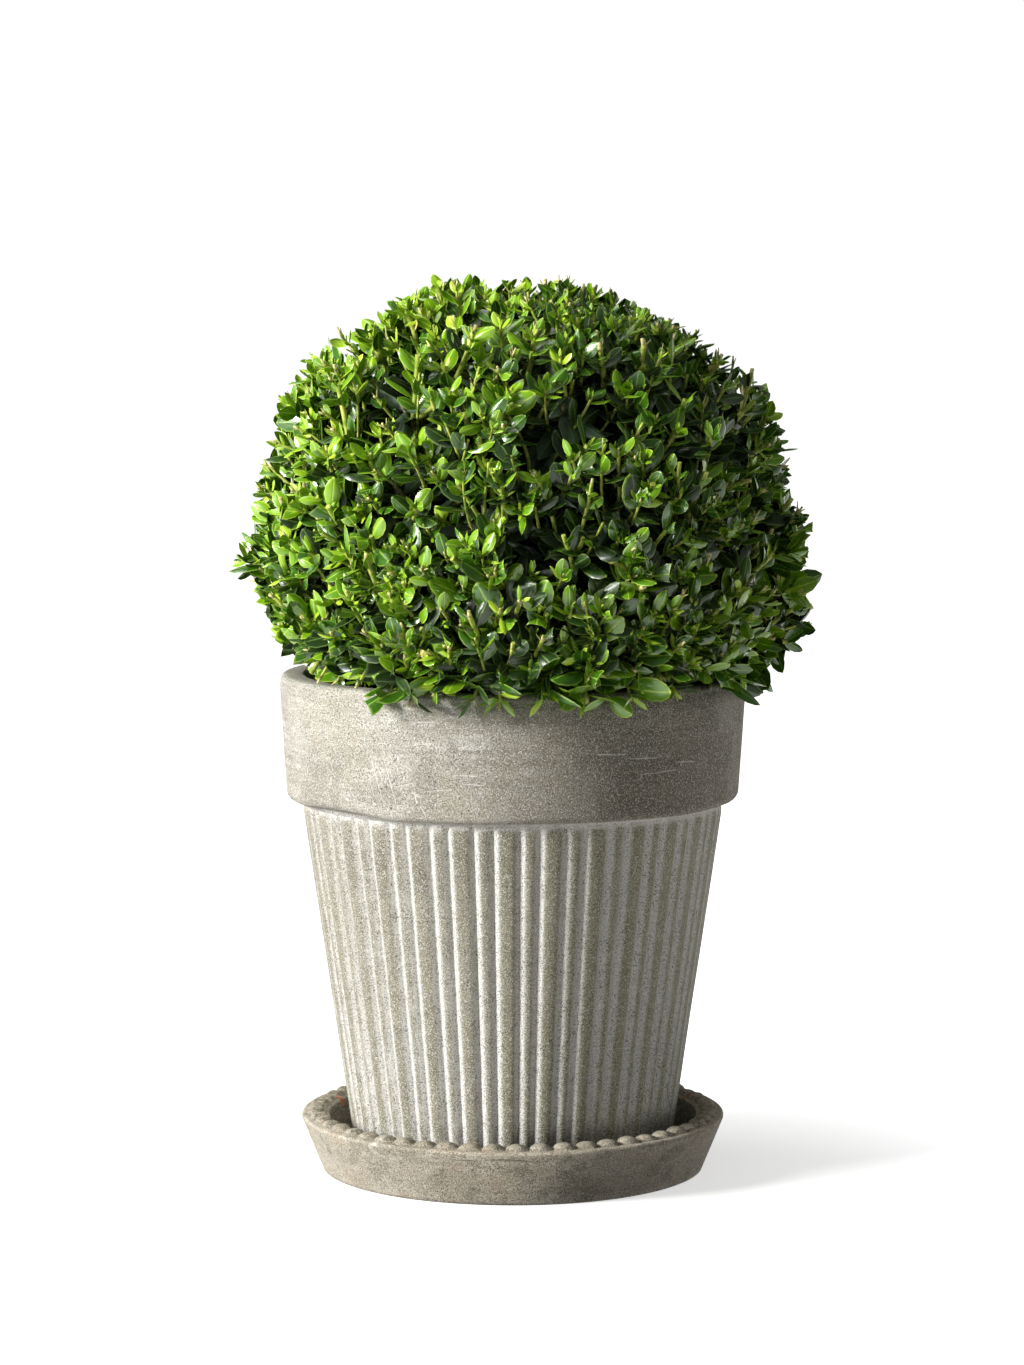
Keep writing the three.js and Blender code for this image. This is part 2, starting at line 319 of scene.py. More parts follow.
# %% [markdown]
# ## Weathered clay
# The clay is pale, warm and grey, with a coarse sandy grain, a white bloom of salts where it dries
# first, and darker stain in the valleys. Near the foot it darkens with lichen and painted shade. It could
# be one picture wrapped round the pot, but that would stretch and show a seam. So it is noise at its real
# size in millimetres, which sits still on the piece from any side, and washes of one colour after another
# are laid by it.

# %% Clay, from the first tone to the washes
CLAY = {
    "stain_and_shade": (0.105, 0.094, 0.070, 1), "body": (0.330, 0.303, 0.243, 1),
    "pale": (0.640, 0.610, 0.533, 1), "bloom_and_highlight": (0.880, 0.870, 0.835, 1),
    "tan": (0.262, 0.238, 0.160, 1), "moss": (0.330, 0.325, 0.200, 1),
    "lichen_and_shade": (0.110, 0.108, 0.062, 1), "rosy": (0.500, 0.425, 0.345, 1),
    "ochre": (0.430, 0.365, 0.225, 1), "raw": (0.560, 0.200, 0.080, 1),
    "warm": (0.980, 0.925, 0.820, 1)}


def new_finish(name):
    """An empty material, its plan, and the place on the piece in millimetres."""
    material = bpy.data.materials.new(name)
    material.use_nodes = True
    material.node_tree.nodes.clear()
    plan = Plan(material.node_tree)
    return material, plan, plan.stretch(plan.add("ShaderNodeTexCoord", out=3), (1 / MM,) * 3)


def close_finish(plan, sockets):
    plan.close("ShaderNodeOutputMaterial", plan.add("ShaderNodeBsdfPrincipled", {}, sockets))


class Clay:
    """A clay finish in the making: its places in mm, its slow noises, and its colour so far."""

    def __init__(self, name, lift, band_foot=None):
        self.material, self.plan, self.mm = new_finish(name)
        plan, mm = self.plan, self.mm
        x, y, self.z = plan.split(mm)
        self.out, self.turn = off_axis(x, y), bearing(x, y)
        self.cloud = plan.noise(mm, 0.022, 4.0, 0.6)
        self.mottle = plan.noise(mm, 0.13, 4.0, 0.65)
        self.level = plan.noise(plan.stretch(mm, (0.018, 0.018, 0.30)), 1.0, 6.0, 0.68)
        self.upright = plan.noise(plan.stretch(mm, (0.50, 0.50, 0.018)), 1.0, 3.0, 0.6)
        self.on_band, self.streak = 0.0, self.level
        if band_foot:
            self.on_band = self.z.between(band_foot - 1, band_foot + 1)
            self.streak = self.on_band * self.level + (1 - self.on_band) * self.upright
        tone = (self.cloud * 0.35 + self.mottle * 0.27 + self.streak * 0.38).between(0.38, 0.62)
        tone = (tone + (1 - self.on_band) * lift).math("MINIMUM", 1.0)
        self.colour = plan.blend(tone, CLAY["body"], CLAY["pale"])
        self.wash(plan.noise(mm, 0.030, 3.0).between(0.50, 0.66) * 0.25, "ochre")
        smear = plan.noise(plan.stretch(mm, (0.5, 0.5, 1.0)), 0.045, 5.0, 0.7).between(0.52, 0.66)
        self.wash(smear * 0.50 * self.level.between(0.42, 0.56), "bloom_and_highlight")

    def wash(self, share, tone, mode="MIX"):
        self.colour = self.plan.blend(share, self.colour, CLAY[tone], mode)


# %% [markdown]
# ### Wear
# Over the washes lie the sand in the clay, pits, red chips down to the raw clay, and the marks of
# handling. A scratch is a short line at a bearing and a height: it shows where the distance to that
# line is small, so it stays as thin as it is on the pot at any size of render.

# %% Scratches and grain
def scratches(clay, lines, radius):
    """1 along each short line, fading in half a width."""
    round_mm = clay.turn * (math.pi / 180 * radius)
    total = 0.0
    for degrees, height, length, lean, width in lines:
        c, s = math.cos(math.radians(lean)), math.sin(math.radians(lean))
        aside = round_mm - math.radians(degrees) * radius
        up = clay.z - height
        along, off = (up * c - aside * s).math("ABSOLUTE"), (aside * c + up * s).math("ABSOLUTE")
        total = off.fading(width * 0.4, width) * along.fading(length * 0.3, length * 0.5) + total
    return total.math("MINIMUM", 1.0)


def worn(clay, lines=(), chips=(), warm=0.0, scar_height=0.0):
    """Lays grain, scratches, chips, pits and a scar over the washes, and closes the finish."""
    plan, mm, mottle = clay.plan, clay.mm, clay.mottle
    dark_grain = plan.noise(mm, 1.50, 2.0, 0.75).between(0.50, 0.60)
    light_grain = plan.noise(mm, 1.35, 2.0, 0.75).between(0.52, 0.62)
    clay.wash(dark_grain * (0.55 + 0.45 * mottle.between(0.38, 0.62)) * 0.95, "stain_and_shade")
    clay.wash(light_grain * 0.72, "bloom_and_highlight")
    cuts = scratches(clay, lines, BAND_TOP_R) if lines else None
    if cuts:
        clay.wash(cuts * (0.10 + 1.0 * mottle), "bloom_and_highlight")
    for *centre, size in chips:
        away = plan.add("ShaderNodeVectorMath", {"operation": "DISTANCE"}, {0: mm, 1: centre}, out=1)
        clay.wash((away + (mottle - 0.5) * 9.0).fading(size * 0.7, size) * 0.85, "raw")
    if warm:
        clay.wash(warm, "warm", "MULTIPLY")
    pits = plan.add("ShaderNodeTexVoronoi", {"feature": "F1"}, {"Vector": mm, "Scale": 0.36})
    pit = pits.fading(0.05, 0.24) * plan.noise(mm, 0.08).between(0.52, 0.62)
    clay.wash(pit * 0.65, "stain_and_shade")
    height = light_grain * 0.16 - dark_grain * 0.22 + mottle * 0.30 + clay.streak * 0.16 - pit * 0.6
    if cuts:
        height = height - cuts * 0.30
    if scar_height:
        scar = (clay.z + plan.noise(mm, 0.05) * 5.0 - scar_height).math("ABSOLUTE").fading(0.15, 0.75)
        scar = scar * plan.noise(mm, 0.028).between(0.45, 0.54) * clay.turn.fading(0, 12)
        clay.wash(scar * 0.55, "stain_and_shade")
        height = height - scar * 0.5
    bump = plan.add("ShaderNodeBump", {}, {"Strength": 1.0, "Distance": MM, "Height": height})
    close_finish(plan, {"Base Color": clay.colour, "Roughness": 0.80 + 0.16 * mottle, "Normal": bump,
                        "Specular IOR Level": 0.25})
    print("clay finish", clay.material.name, len(plan.tree.nodes), "nodes")
    return clay.material


# %% [markdown]
# ### The pot's weather
# The rib tree below stores how far each point stands out, and how near it is to a rib's left edge. The
# crests have gone tan, the valleys are whitened by salts, the left edges are whitened too, partly salts and
# partly a painted highlight of the light from the left, and stain gathers under the band. The right side
# stands in shade: there moss grows, the rib edges get more painted highlight, and the band, whose tone runs
# in level streaks because it was wiped round while wet, is painted darker as shade. Near the foot the clay
# is darker, more on the shaded side: lichen and painted shade.

# %% Washes of the pot
def weather_ribs(clay):
    plan, mm, z, mottle = clay.plan, clay.mm, clay.z, clay.mottle
    on_band, on_body = clay.on_band, 1 - clay.on_band
    relief, wander = plan.painted("crest"), (clay.upright - 0.5) * 0.50
    ragged = relief + wander + (mottle - 0.5) * 0.25
    crest = ragged.between(0.55, 0.98) * on_body
    edge = (plan.painted("bleached") + wander).between(0.05, 0.55)
    clay.wash(crest * (0.50 + 0.6 * clay.cloud), "tan")
    clay.wash(ragged.fading(0.25, 0.85) * 0.22, "bloom_and_highlight")
    # The left edges of the ribs are whitened: salts, and a painted highlight of the light from the left.
    clay.wash(edge * (0.35 + 0.6 * mottle), "bloom_and_highlight")
    below = z.fading(BAND_FOOT - 4.5, BAND_FOOT - 2.5)
    clay.wash(relief.fading(0.0, 0.13) * mottle.between(0.36, 0.60) * below * 0.60, "stain_and_shade")
    clay.wash((1 - below) * on_body * 0.45, "bloom_and_highlight")
    near_top = z.between(BAND_FOOT - 55, BAND_FOOT - 8) * crest * clay.cloud.between(0.40, 0.60)
    clay.wash(near_top * 0.35, "stain_and_shade")

    turn = clay.turn + (clay.cloud - 0.5) * 60
    shady = turn.between(-24, 28) * turn.fading(120, 170)
    patchy_shade_side = shady * (0.3 + 0.7 * mottle)
    clay.wash(z.fading(20, 150) * (1 - crest) * 0.65, "bloom_and_highlight")
    clay.wash(on_body * (1 - ragged.between(0.05, 0.45)) * shady * 0.50, "bloom_and_highlight")
    clay.wash(crest * patchy_shade_side, "moss")
    # Painted highlight: rib edges on the shaded side are whitened as if they caught the light.
    clay.wash(edge * on_body * patchy_shade_side, "bloom_and_highlight")
    low = z.fading(25, 190) * plan.noise(mm, 0.035, 3.0).between(0.40, 0.58)
    clay.wash(low * crest * 0.50, "moss")
    # Darker near the foot, more on the shaded side: lichen and painted shade.
    foot = z.fading(26, 46) * (0.15 + shady) * (0.5 + mottle)
    clay.wash(foot * 0.45, "lichen_and_shade")
    # Painted shade: the band is darkened on its shaded right side.
    clay.wash(on_band * shady * 0.92, "body", "MULTIPLY")
    thumbed = plan.noise(plan.stretch(mm, (1.0, 1.0, 0.5)), 0.030, 4.0, 0.6).between(0.54, 0.64)
    clay.wash(thumbed * on_band * 0.70, "body")


BAND_SCRATCHES = [  # bearing and height of the middle, length, lean from upright, width
    (-34.8, 222, 30, 17, 0.45), (-31.2, 223, 30, 16, 0.45), (-36.5, 218, 12, 16, 0.35),
    (-26.0, 230, 6, 60, 0.9), (-11.6, 227, 16, 88, 0.45), (-10.0, 222.5, 16, 87, 0.40),
    (-24.0, 216, 8, 65, 0.7), (-24.2, 215, 7, 10, 0.6), (-22.3, 208, 8, 30, 0.6),
    (-22.0, 254, 20, 92, 0.5), (-18.0, 219, 18, 96, 0.40), (-27.0, 221, 14, 104, 0.45),
    (24.0, 237, 20, 88, 0.5), (33.0, 234, 22, 88, 0.45), (38.0, 226, 30, 92, 0.40),
    (47.0, 230, 18, 86, 0.45)]
pot_clay = Clay("clay_pot", lift=0.60, band_foot=BAND_FOOT)
weather_ribs(pot_clay)
clay_pot = worn(pot_clay, lines=BAND_SCRATCHES)


# %% [markdown]
# ## The pot
# Its side is a ring of convex ribs, a wide one and a narrow one by turns, with sharp valleys between
# them; under the band each rib rounds off. A rule makes them, so Geometry Nodes cut them into the
# turned wall: the angle gives the place across a rib, an arch gives its height, and the height up
# the wall gives the rounding. Ribs pressed by hand wander a little, so slow noise moves the wall.

# %% Rib tree
def rib_tree():
    plan, given = new_tree("ribs", pairs=29.0, first_degrees=0.0, wide_share=0.57, depth=0.0026,
                           narrow_rise=0.9, shoulder=0.0032, top=0.199, rounding=0.005, wander=0.0004)
    place = plan.add("GeometryNodeInputPosition")
    x, y, z = plan.split(place)
    pair = ((bearing(x, y) - given.first_degrees) * given.pairs / 360.0 + given.pairs).math("FRACT")
    wide = pair < given.wide_share
    width = wide * given.wide_share + (1 - wide) * (1 - given.wide_share)
    along = (pair - (1 - wide) * given.wide_share) / width
    across = off_axis(x, y).math("MAXIMUM", 1e-4)
    length_of = lambda share: share * width * across * (2 * math.pi) / given.pairs
    from_valley = length_of(0.5 - (along - 0.5).math("ABSOLUTE"))
    flank = (from_valley / given.shoulder).math("MINIMUM", 1.0) * (math.pi / 2)
    arch = flank.math("SINE") * 0.88 + (1 - (along * 2.0 - 1.0) ** 2.0) * 0.12
    arch = arch * (wide + (1 - wide) * given.narrow_rise)
    up = ((z - given.top + given.rounding) / given.rounding).math("MAXIMUM", 0.0)
    crest = arch * (1 - up.math("MINIMUM", 1.0) ** 2.0).math("SQRT")
    on_rib = plan.read("zone") > 0.5
    slow, fine = plan.noise(place, 16.0) - 0.5, plan.noise(place, 70.0) - 0.5
    move = (slow + fine * 0.4) * given.wander * 2.0 - given.depth * (1 - crest) * on_rib
    shaped = plan.move(given.geometry, plan.join(x / across * move, y / across * move, 0.0))
    # Nearness to the rib's left edge, which the finish whitens: salts and a painted highlight.
    bleached = (1 - length_of(along) / given.shoulder).math("MAXIMUM", 0.0) * on_rib
    return close_tree(plan, plan.store(shaped, crest=crest * on_rib + (1 - on_rib), bleached=bleached))


# %% Turn the pot
def pot_stations():
    """Stations up the outside and down the inside, each with a 1 where the wall is ribbed."""
    inner = lambda z: body_radius(z) - WALL
    floor = POT_FOOT + FLOOR_THICK
    body = [[body_radius(z), z] for z in np.linspace(POT_FOOT + 1.2, BAND_FOOT - 10, 17)]
    body += [[body_radius(z) + NECK_FLARE * max(1 - (BAND_FOOT - z) / NECK_TALL, 0) ** 2, z]
             for z in BAND_FOOT - np.array([8, 7, 6, 5, 4.2, 3.6, 3, 2.5, 2.1, 1.6, 1.1, 0.6, 0.2])]
    foot_edge = arc(BAND_FOOT_R - BAND_ROUND, BAND_FOOT + BAND_ROUND, BAND_ROUND, -90, 0, 6)
    lip = [[BAND_TOP_R, POT_TOP - 5.2], [BAND_TOP_R - 0.7, POT_TOP - 4.4]]
    lip += arc(BAND_TOP_R - 0.4 - LIP_ROUND, POT_TOP - LIP_ROUND, LIP_ROUND, 0, 90, 6)
    inner_edge = arc(inner(POT_TOP) + 3, POT_TOP - 3, 3, 90, 180, 4)
    under = [[0, POT_FOOT], [60, POT_FOOT], [body_radius(POT_FOOT) - 1.2, POT_FOOT]]
    rest = (foot_edge + run(foot_edge[-1], lip[0], 8)[:-1]
            + lip + run(lip[-1], inner_edge[0], 2)[:-1] + inner_edge
            + run(inner_edge[-1], [inner(floor + 6), floor + 6], 4)
            + [[inner(floor) - 6, floor], [40, floor], [0, floor]])
    return under + body + rest, [0, 0, 1] + [1] * len(body) + [0] * len(rest)


def rib_turns():
    """Bearings round the wall, closer together beside each valley, with one in the valley itself."""
    period = 360 / RIB_PAIRS
    across = np.array([0.0, 0.045, 0.10, 0.165, 0.24, 0.35, 0.5, 0.65, 0.76, 0.835, 0.90, 0.955])
    one = np.concatenate([across * WIDE_DEG, WIDE_DEG + across * (period - WIDE_DEG)])
    return np.radians(FIRST_RIB_DEG + np.concatenate([one + k * period for k in range(RIB_PAIRS)]))


def hand_finished(mesh):
    """The lower edge of the band was trimmed by hand: it wanders, and has a small nick."""
    points = np.empty(len(mesh.vertices) * 3)
    mesh.vertices.foreach_get("co", points)
    points = points.reshape(-1, 3)
    turn = np.degrees(np.arctan2(points[:, 0], -points[:, 1]))
    near = np.clip(1 - np.abs(points[:, 2] / MM - BAND_FOOT - 2) / 6, 0, 1)
    near *= np.hypot(points[:, 0], points[:, 1]) / MM > body_radius(BAND_FOOT) + 1.0
    wave = 0.3 * np.sin(np.radians(turn * 5 + 40)) + 0.2 * np.sin(np.radians(turn * 13 + 10))
    wave += 2.2 * np.exp(-((turn + 50) / 13) ** 4) - 0.7 * np.exp(-((turn + 31) / 3) ** 2)
    points[:, 2] += near * wave * MM
    mesh.vertices.foreach_set("co", points.ravel())
    mesh.update()


stations, ribbed = pot_stations()
pot = run_tree("planter_pot", rib_tree(), turned("pot_wall", stations, rib_turns(), ribbed),
               pairs=float(RIB_PAIRS), first_degrees=FIRST_RIB_DEG, wide_share=WIDE_DEG / (360 / RIB_PAIRS),
               depth=2.6 * MM, top=(BAND_FOOT - NECK) * MM, rounding=6 * MM, shoulder=4.2 * MM,
               wander=0.40 * MM, finish=clay_pot)
hand_finished(pot.data)
settle(pot, "clay_pot", "pot")

# %% [markdown]
# ## The saucer
# A plain dish whose rim carries a ring of low beads, pressed into it so that they share its clay.
# They follow a rule too: the angle gives the place across a bead and the radius the place along it,
# and a half-round height is added to the flat of the rim. The gaps between the beads are darker, with
# stain and painted shade. The top of the dish's inside wall is darkened as painted shade. Lichen grows on
# the right side of each bead, more on the right of the saucer, and stands there for painted shade too.

# %% Bead tree
def bead_tree():
    plan, given = new_tree("beads", count=54.0, first_degrees=0.0, ring_radius=0.106, width=0.0084,
                           height=0.0037, fullness=0.94, wander=0.0003)
    place = plan.add("GeometryNodeInputPosition")
    x, y, _ = plan.split(place)
    radius = off_axis(x, y).math("MAXIMUM", 1e-4)
    number = (bearing(x, y) - given.first_degrees) * given.count / 360.0 + given.count + 0.5
    aside = (number.math("FRACT") - 0.5) * 2.0 / given.fullness
    out = (radius - given.ring_radius) / (given.width * 0.5)
    dome = (1 - aside * aside - out.math("ABSOLUTE") ** 4.0).math("MAXIMUM", 0.0) ** 0.5
    uneven = 0.55 + 0.85 * plan.noise(plan.join(number.math("FLOOR"), 0.0, 0.0), 0.77, 0.0)
    on_rim = plan.read("zone") > 0.5
    wobble = (plan.noise(place, 22.0) - 0.5) * given.wander * 2.0
    shaped = plan.move(given.geometry, plan.join(
        x / radius * wobble, y / radius * wobble, dome * given.height * on_rim * uneven))
    return close_tree(plan, plan.store(shaped, bead=dome * on_rim, bead_side=aside * on_rim))


# %% Washes of the saucer
def weather_dish(clay):
    plan, mottle = clay.plan, clay.mottle
    bead = plan.painted("bead")
    on_ring = clay.out.between(BEAD_RING - 5.6, BEAD_RING - 5.0) * clay.out.fading(
        BEAD_RING + 4.4, BEAD_RING + 5.2) * clay.z.between(SAUCER_TOP - 0.6, SAUCER_TOP - 0.2)
    # Darker between the beads: stain and painted shade.
    clay.wash(bead.fading(0.10, 0.50) * on_ring * (0.25 + 0.6 * mottle), "stain_and_shade")
    clay.wash(bead.between(0.30, 0.60) * (0.3 + 0.6 * mottle), "body")
    # Lichen on the right side of each bead and on the saucer's right: lichen and painted shade.
    shaded = plan.painted("bead_side") + clay.turn.between(20, 60) * 0.30
    lichen_and_shade_share = (shaded + (mottle - 0.5) * 1.6).between(0.05, 0.45) * bead.between(0.15, 0.45)
    clay.wash(lichen_and_shade_share * 0.80, "lichen_and_shade")
    patch = plan.noise(plan.stretch(clay.mm, (1.0, 1.0, 1.5)), 0.055, 4.0, 0.65)
    clay.wash(patch.between(0.51, 0.60) * 0.80, "body")
    clay.wash(patch.fading(0.38, 0.48) * 0.70, "rosy")
    # Painted shade: the top of the dish's inside wall is darkened.
    painted_shade_inside = clay.out.fading(101.6, 102.6) * clay.z.fading(SAUCER_TOP - 1.6, SAUCER_TOP - 0.6)
    clay.wash(painted_shade_inside * 0.75, "stain_and_shade")


RAW_CHIPS = ((-95.0, 33.0, 28.5, 2.8), (98.0, 35.0, 30.5, 4.5), (92.0, 46.0, 29.5, 3.0))  # place, size
saucer_clay = Clay("clay_saucer", lift=0.30)
weather_dish(saucer_clay)
clay_saucer = worn(saucer_clay, chips=RAW_CHIPS, warm=0.8, scar_height=28.0)

# %% Turn the saucer
rim_out = arc(SAUCER_RIM - RIM_EDGE, SAUCER_TOP - RIM_EDGE, RIM_EDGE, -15, 90, 5)
rim_in = BEAD_RING - BEAD_WIDTH / 2 - 0.8
dish = [[0, 0], [60, 0], [SAUCER_FOOT - 1.6, 0], [SAUCER_FOOT - 0.5, 0.5], [SAUCER_FOOT, 1.7]]
dish += run(dish[-1], rim_out[0], 5)[:-1] + rim_out
beads_at = len(dish)
dish += run(rim_out[-1], [rim_in, SAUCER_TOP], 13)
beads_end = len(dish)
dish += arc(rim_in + 0.2, SAUCER_TOP - 1.6, 1.6, 100, 180, 3)
dish += run(dish[-1], [96.5, SAUCER_FLOOR + 3], 3)
dish += [[95, SAUCER_FLOOR + 1], [92, SAUCER_FLOOR], [60, SAUCER_FLOOR], [0, SAUCER_FLOOR]]
bead_flags = [1 if beads_at - 1 <= i < beads_end else 0 for i in range(len(dish))]
bead_turns = np.radians(FIRST_BEAD_DEG + np.arange(BEADS * 14) * 360 / (BEADS * 14))
saucer = run_tree("beaded_saucer", bead_tree(), turned("dish", dish, bead_turns, bead_flags),
                  count=float(BEADS), first_degrees=FIRST_BEAD_DEG, ring_radius=BEAD_RING * MM,
                  width=BEAD_WIDTH * MM, height=BEAD_HEIGHT * MM, wander=0.3 * MM, finish=clay_saucer)
settle(saucer, "clay_saucer", "saucer")

# %% [markdown]
# ## Soil
# Only a sliver of it shows between the ball and the rim. A bumpy finish alone would look like felt
# there, so it is a low, uneven crown with loose crumbs scattered on it by Geometry Nodes.

# %% Crumbs on a crown
def rough_finish(name, dark, light, grain, roughness, bump_mm):
    """Two tones by noise of a given grain, in mm, with the same noise as bump."""
    material, plan, mm = new_finish(name)
    patch = plan.noise(mm, 1 / grain, 4.0, 0.65)
    bump = plan.add("ShaderNodeBump", {}, {"Distance": bump_mm * MM, "Height": patch})
    close_finish(plan, {"Base Color": plan.blend(patch.between(0.36, 0.64), (*dark, 1), (*light, 1)),
                        "Roughness": roughness, "Normal": bump, "Specular IOR Level": 0.2})
    return material


def crumb_tree():
    plan, given = new_tree("crumbs", density=26000.0, size=0.0022, lumps=0.004, seed=4)
    lumps = (plan.noise(plan.add("GeometryNodeInputPosition"), 60.0, 3.0) - 0.5) * given.lumps
    on_top = plan.read("zone") > 0.5
    ground = plan.move(given.geometry, plan.join(0.0, 0.0, lumps), Selection=on_top)
    spots = plan.add("GeometryNodeDistributePointsOnFaces", {}, {
        "Mesh": ground, "Selection": on_top, "Density": given.density, "Seed": given.seed})
    crumb = plan.add("GeometryNodeMeshIcoSphere", {}, {"Radius": given.size, "Subdivisions": 1})
    size = plan.add("FunctionNodeRandomValue", {"data_type": "FLOAT"}, {2: 0.3, 3: 1.0, "Seed": 2}, out=1)
    turn = plan.add("FunctionNodeRandomValue", {"data_type": "FLOAT_VECTOR"}, {
        0: (0, 0, 0), 1: (6.3, 6.3, 6.3), "Seed": 3})
    crumbs = plan.add("GeometryNodeInstanceOnPoints", {}, {
        "Points": spots, "Instance": crumb, "Rotation": turn, "Scale": size})
    both = plan.add("GeometryNodeJoinGeometry", {}, {0: ground})
    plan.tree.links.new(crumbs.socket, both.socket.node.inputs[0])
    return close_tree(plan, both)


soil_low, soil_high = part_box("soil")
soil_top, soil_foot = soil_high.z / MM, soil_low.z / MM
top_edge = body_radius(soil_top - 5) - WALL - 0.9
soil_profile = [[0, soil_foot], [60, soil_foot],
                [body_radius(soil_foot + 6) - WALL - 0.9, soil_foot + 6]]
soil_profile += run(soil_profile[-1], [top_edge, soil_top - 6.5], 3)
soil_profile += run(soil_profile[-1], [top_edge * 0.96, soil_top - 5.5], 1)
soil_profile += run(soil_profile[-1], [14, soil_top - 2.5], 12) + [[0, soil_top - 2.5]]
soil_flags = [1 if i > 6 else 0 for i in range(len(soil_profile))]
soil = run_tree("potting_soil", crumb_tree(),
                turned("soil_crown", soil_profile, np.radians(np.arange(0, 360, 5)), soil_flags),
                density=26000.0, size=2.2 * MM, lumps=4 * MM, seed=4, finish=rough_finish(
                    "potting_soil", (0.018, 0.012, 0.008), (0.075, 0.050, 0.032), 3.0, 0.95, 1.2))
settle(soil, "soil", "soil")

# %% [markdown]
# ## The ball and how it grows
# The solids were grown by a rule, and the shrub keeps it: the ball is a superellipsoid about its
# heart, boughs leave one fork for even points inside it, and twigs leave the nearest bough for even
# points near its face, turning up a little on the way. Here the rule goes one step further. Shoots
# leave the twigs for even points on the face and bear the opposite leaves. Shears make the ball,
# but not an even one: the shoots stand in clumps, with dark gaps between them.

# %% The ball's face
HEART = np.array([8.0, 0.0, 311.0])
SWEEP, POWER = 0.2, 2.6
ACROSS, UP, DOWN, SWELL = 151.0, 167.0, 63.0, 0.018
RIM_TOP, MOUTH_R = POT_TOP, body_radius(POT_TOP) - WALL
TRIM = [  # direction seen from the front, in degrees up from the right, and how far out the face is
    (-60, 1.0), (-32, 0.945), (-20, 0.905), (-13, 0.861), (-7, 0.942), (0, 0.922), (10, 0.985),
    (16, 0.975), (22, 0.940), (28, 0.975), (34, 0.928), (40, 1.022), (46, 0.995), (52, 0.955),
    (58, 0.984), (70, 0.962), (78, 0.989), (88, 1.005), (98, 1.016), (110, 1.010), (124, 0.985),
    (133, 1.024), (142, 1.000), (148, 0.956), (154, 0.982), (160, 0.986), (168, 0.978), (173, 0.990),
    (178, 0.950), (184, 0.900), (189, 0.938), (193, 0.905), (198, 0.800), (210, 0.92), (230, 1.0)]


def unit(vectors):
    return vectors / np.linalg.norm(vectors, axis=-1, keepdims=True)


def nearest_gap(points, others):
    """How far each point is from the nearest of the others, and which that is."""
    gaps = np.linalg.norm(others[None] - points[:, None], axis=2)
    return gaps.min(1), gaps.argmin(1)


def reach(way):
    """Distance from the heart to the clipped face along unit directions."""
    x, y, z = way.T
    flat = np.hypot(x, y) / ACROSS
    tall = np.abs(z) / np.where(z > 0, UP, DOWN)
    swell = (np.sin(4.1 * x + 1.7 * y + 0.6) + np.sin(3.3 * y - 4.7 * z + 2.1)
             + np.sin(5.3 * z + 2.9 * x + 4.0)) / 3
    return (flat ** POWER + tall ** POWER) ** (-1 / POWER) * (1 + SWELL * swell)


def tuck(way):
    """The rule's ball is even; shears are not. This follows the clipped outline seen from the front."""
    turn = np.degrees(np.arctan2(way[:, 2], way[:, 0]))
    turn = np.where(turn < -130, turn + 360, turn)
    share = np.interp(turn, [t for t, _ in TRIM], [s for _, s in TRIM])
    return 1 + (share - 1) * np.exp(-(way[:, 1] / 0.6) ** 2)


def on_face(way, share):
    spots = way * (reach(way) * tuck(way) * share)[:, None] + HEART
    spots[:, 0] += SWEEP * np.maximum(0, HEART[2] - spots[:, 2])
    return spots


def fullness(points):
    """How far out points are: 1 on the clipped face, and more beyond it."""
    back = points - HEART
    back[:, 0] -= SWEEP * np.maximum(0, -back[:, 2])
    far = np.linalg.norm(back, axis=1)
    way = back / far[:, None]
    return far / (reach(way) * tuck(way))


def clump(way):
    """0 in a gap between clumps and 1 in the middle of one: slow waves over the ball."""
    x, y, z = way.T
    waves = (np.sin(11.3 * x + 4.1 * z + 1.0) + np.sin(10.1 * y - 6.3 * x + 2.0)
             + np.sin(12.7 * z + 5.9 * y + 0.3) + np.sin(7.7 * (x + y + z) + 4.4))
    return np.clip(0.5 + 0.27 * waves, 0, 1)


def even_ways(count, lowest):
    z = 1 - (1 - lowest) * (np.arange(count) + 0.5) / count
    turn = np.arange(count) * math.pi * (3 - math.sqrt(5))
    flat = np.sqrt(1 - z * z)
    return np.stack([flat * np.cos(turn), flat * np.sin(turn), z], 1)


def ring_ways(count, height):
    turn = 2 * math.pi * np.arange(count) / count
    return unit(np.stack([np.cos(turn), np.sin(turn), np.full(count, height)], 1))


def off_pot(points, clear=0.6):
    """Whether points keep clear of the rim, with its rounded lip, and of the soil."""
    round_ = np.hypot(points[:, 0], points[:, 1])
    over_lip = np.clip(round_ - (BAND_TOP_R - LIP_ROUND), 0, LIP_ROUND)
    lip = RIM_TOP - LIP_ROUND + np.sqrt(LIP_ROUND ** 2 - over_lip ** 2)
    over = points[:, 2] > lip + clear
    beside = (round_ < MOUTH_R - 1.5) | (round_ > BAND_TOP_R + clear)
    return (over | (beside & (points[:, 2] > RIM_TOP - 16))) & (
        (points[:, 2] > soil_top + 1) | (round_ > MOUTH_R))


print("face reaches", [round(float(r)) for r in reach(np.eye(3))], "mm from the heart")

# %% [markdown]
# ### Limbs as lines
# Every limb is a curve drawn towards a knee, so that it leaves its parent lengthwise. Working them
# all out as rows of points, before any mesh is made, lets later steps ask where a shoot ends. Most
# shoots follow the even rule; a few loose sprigs stand out of the face, as the shears missed them,
# and some hang over the rim, where no shears reach.

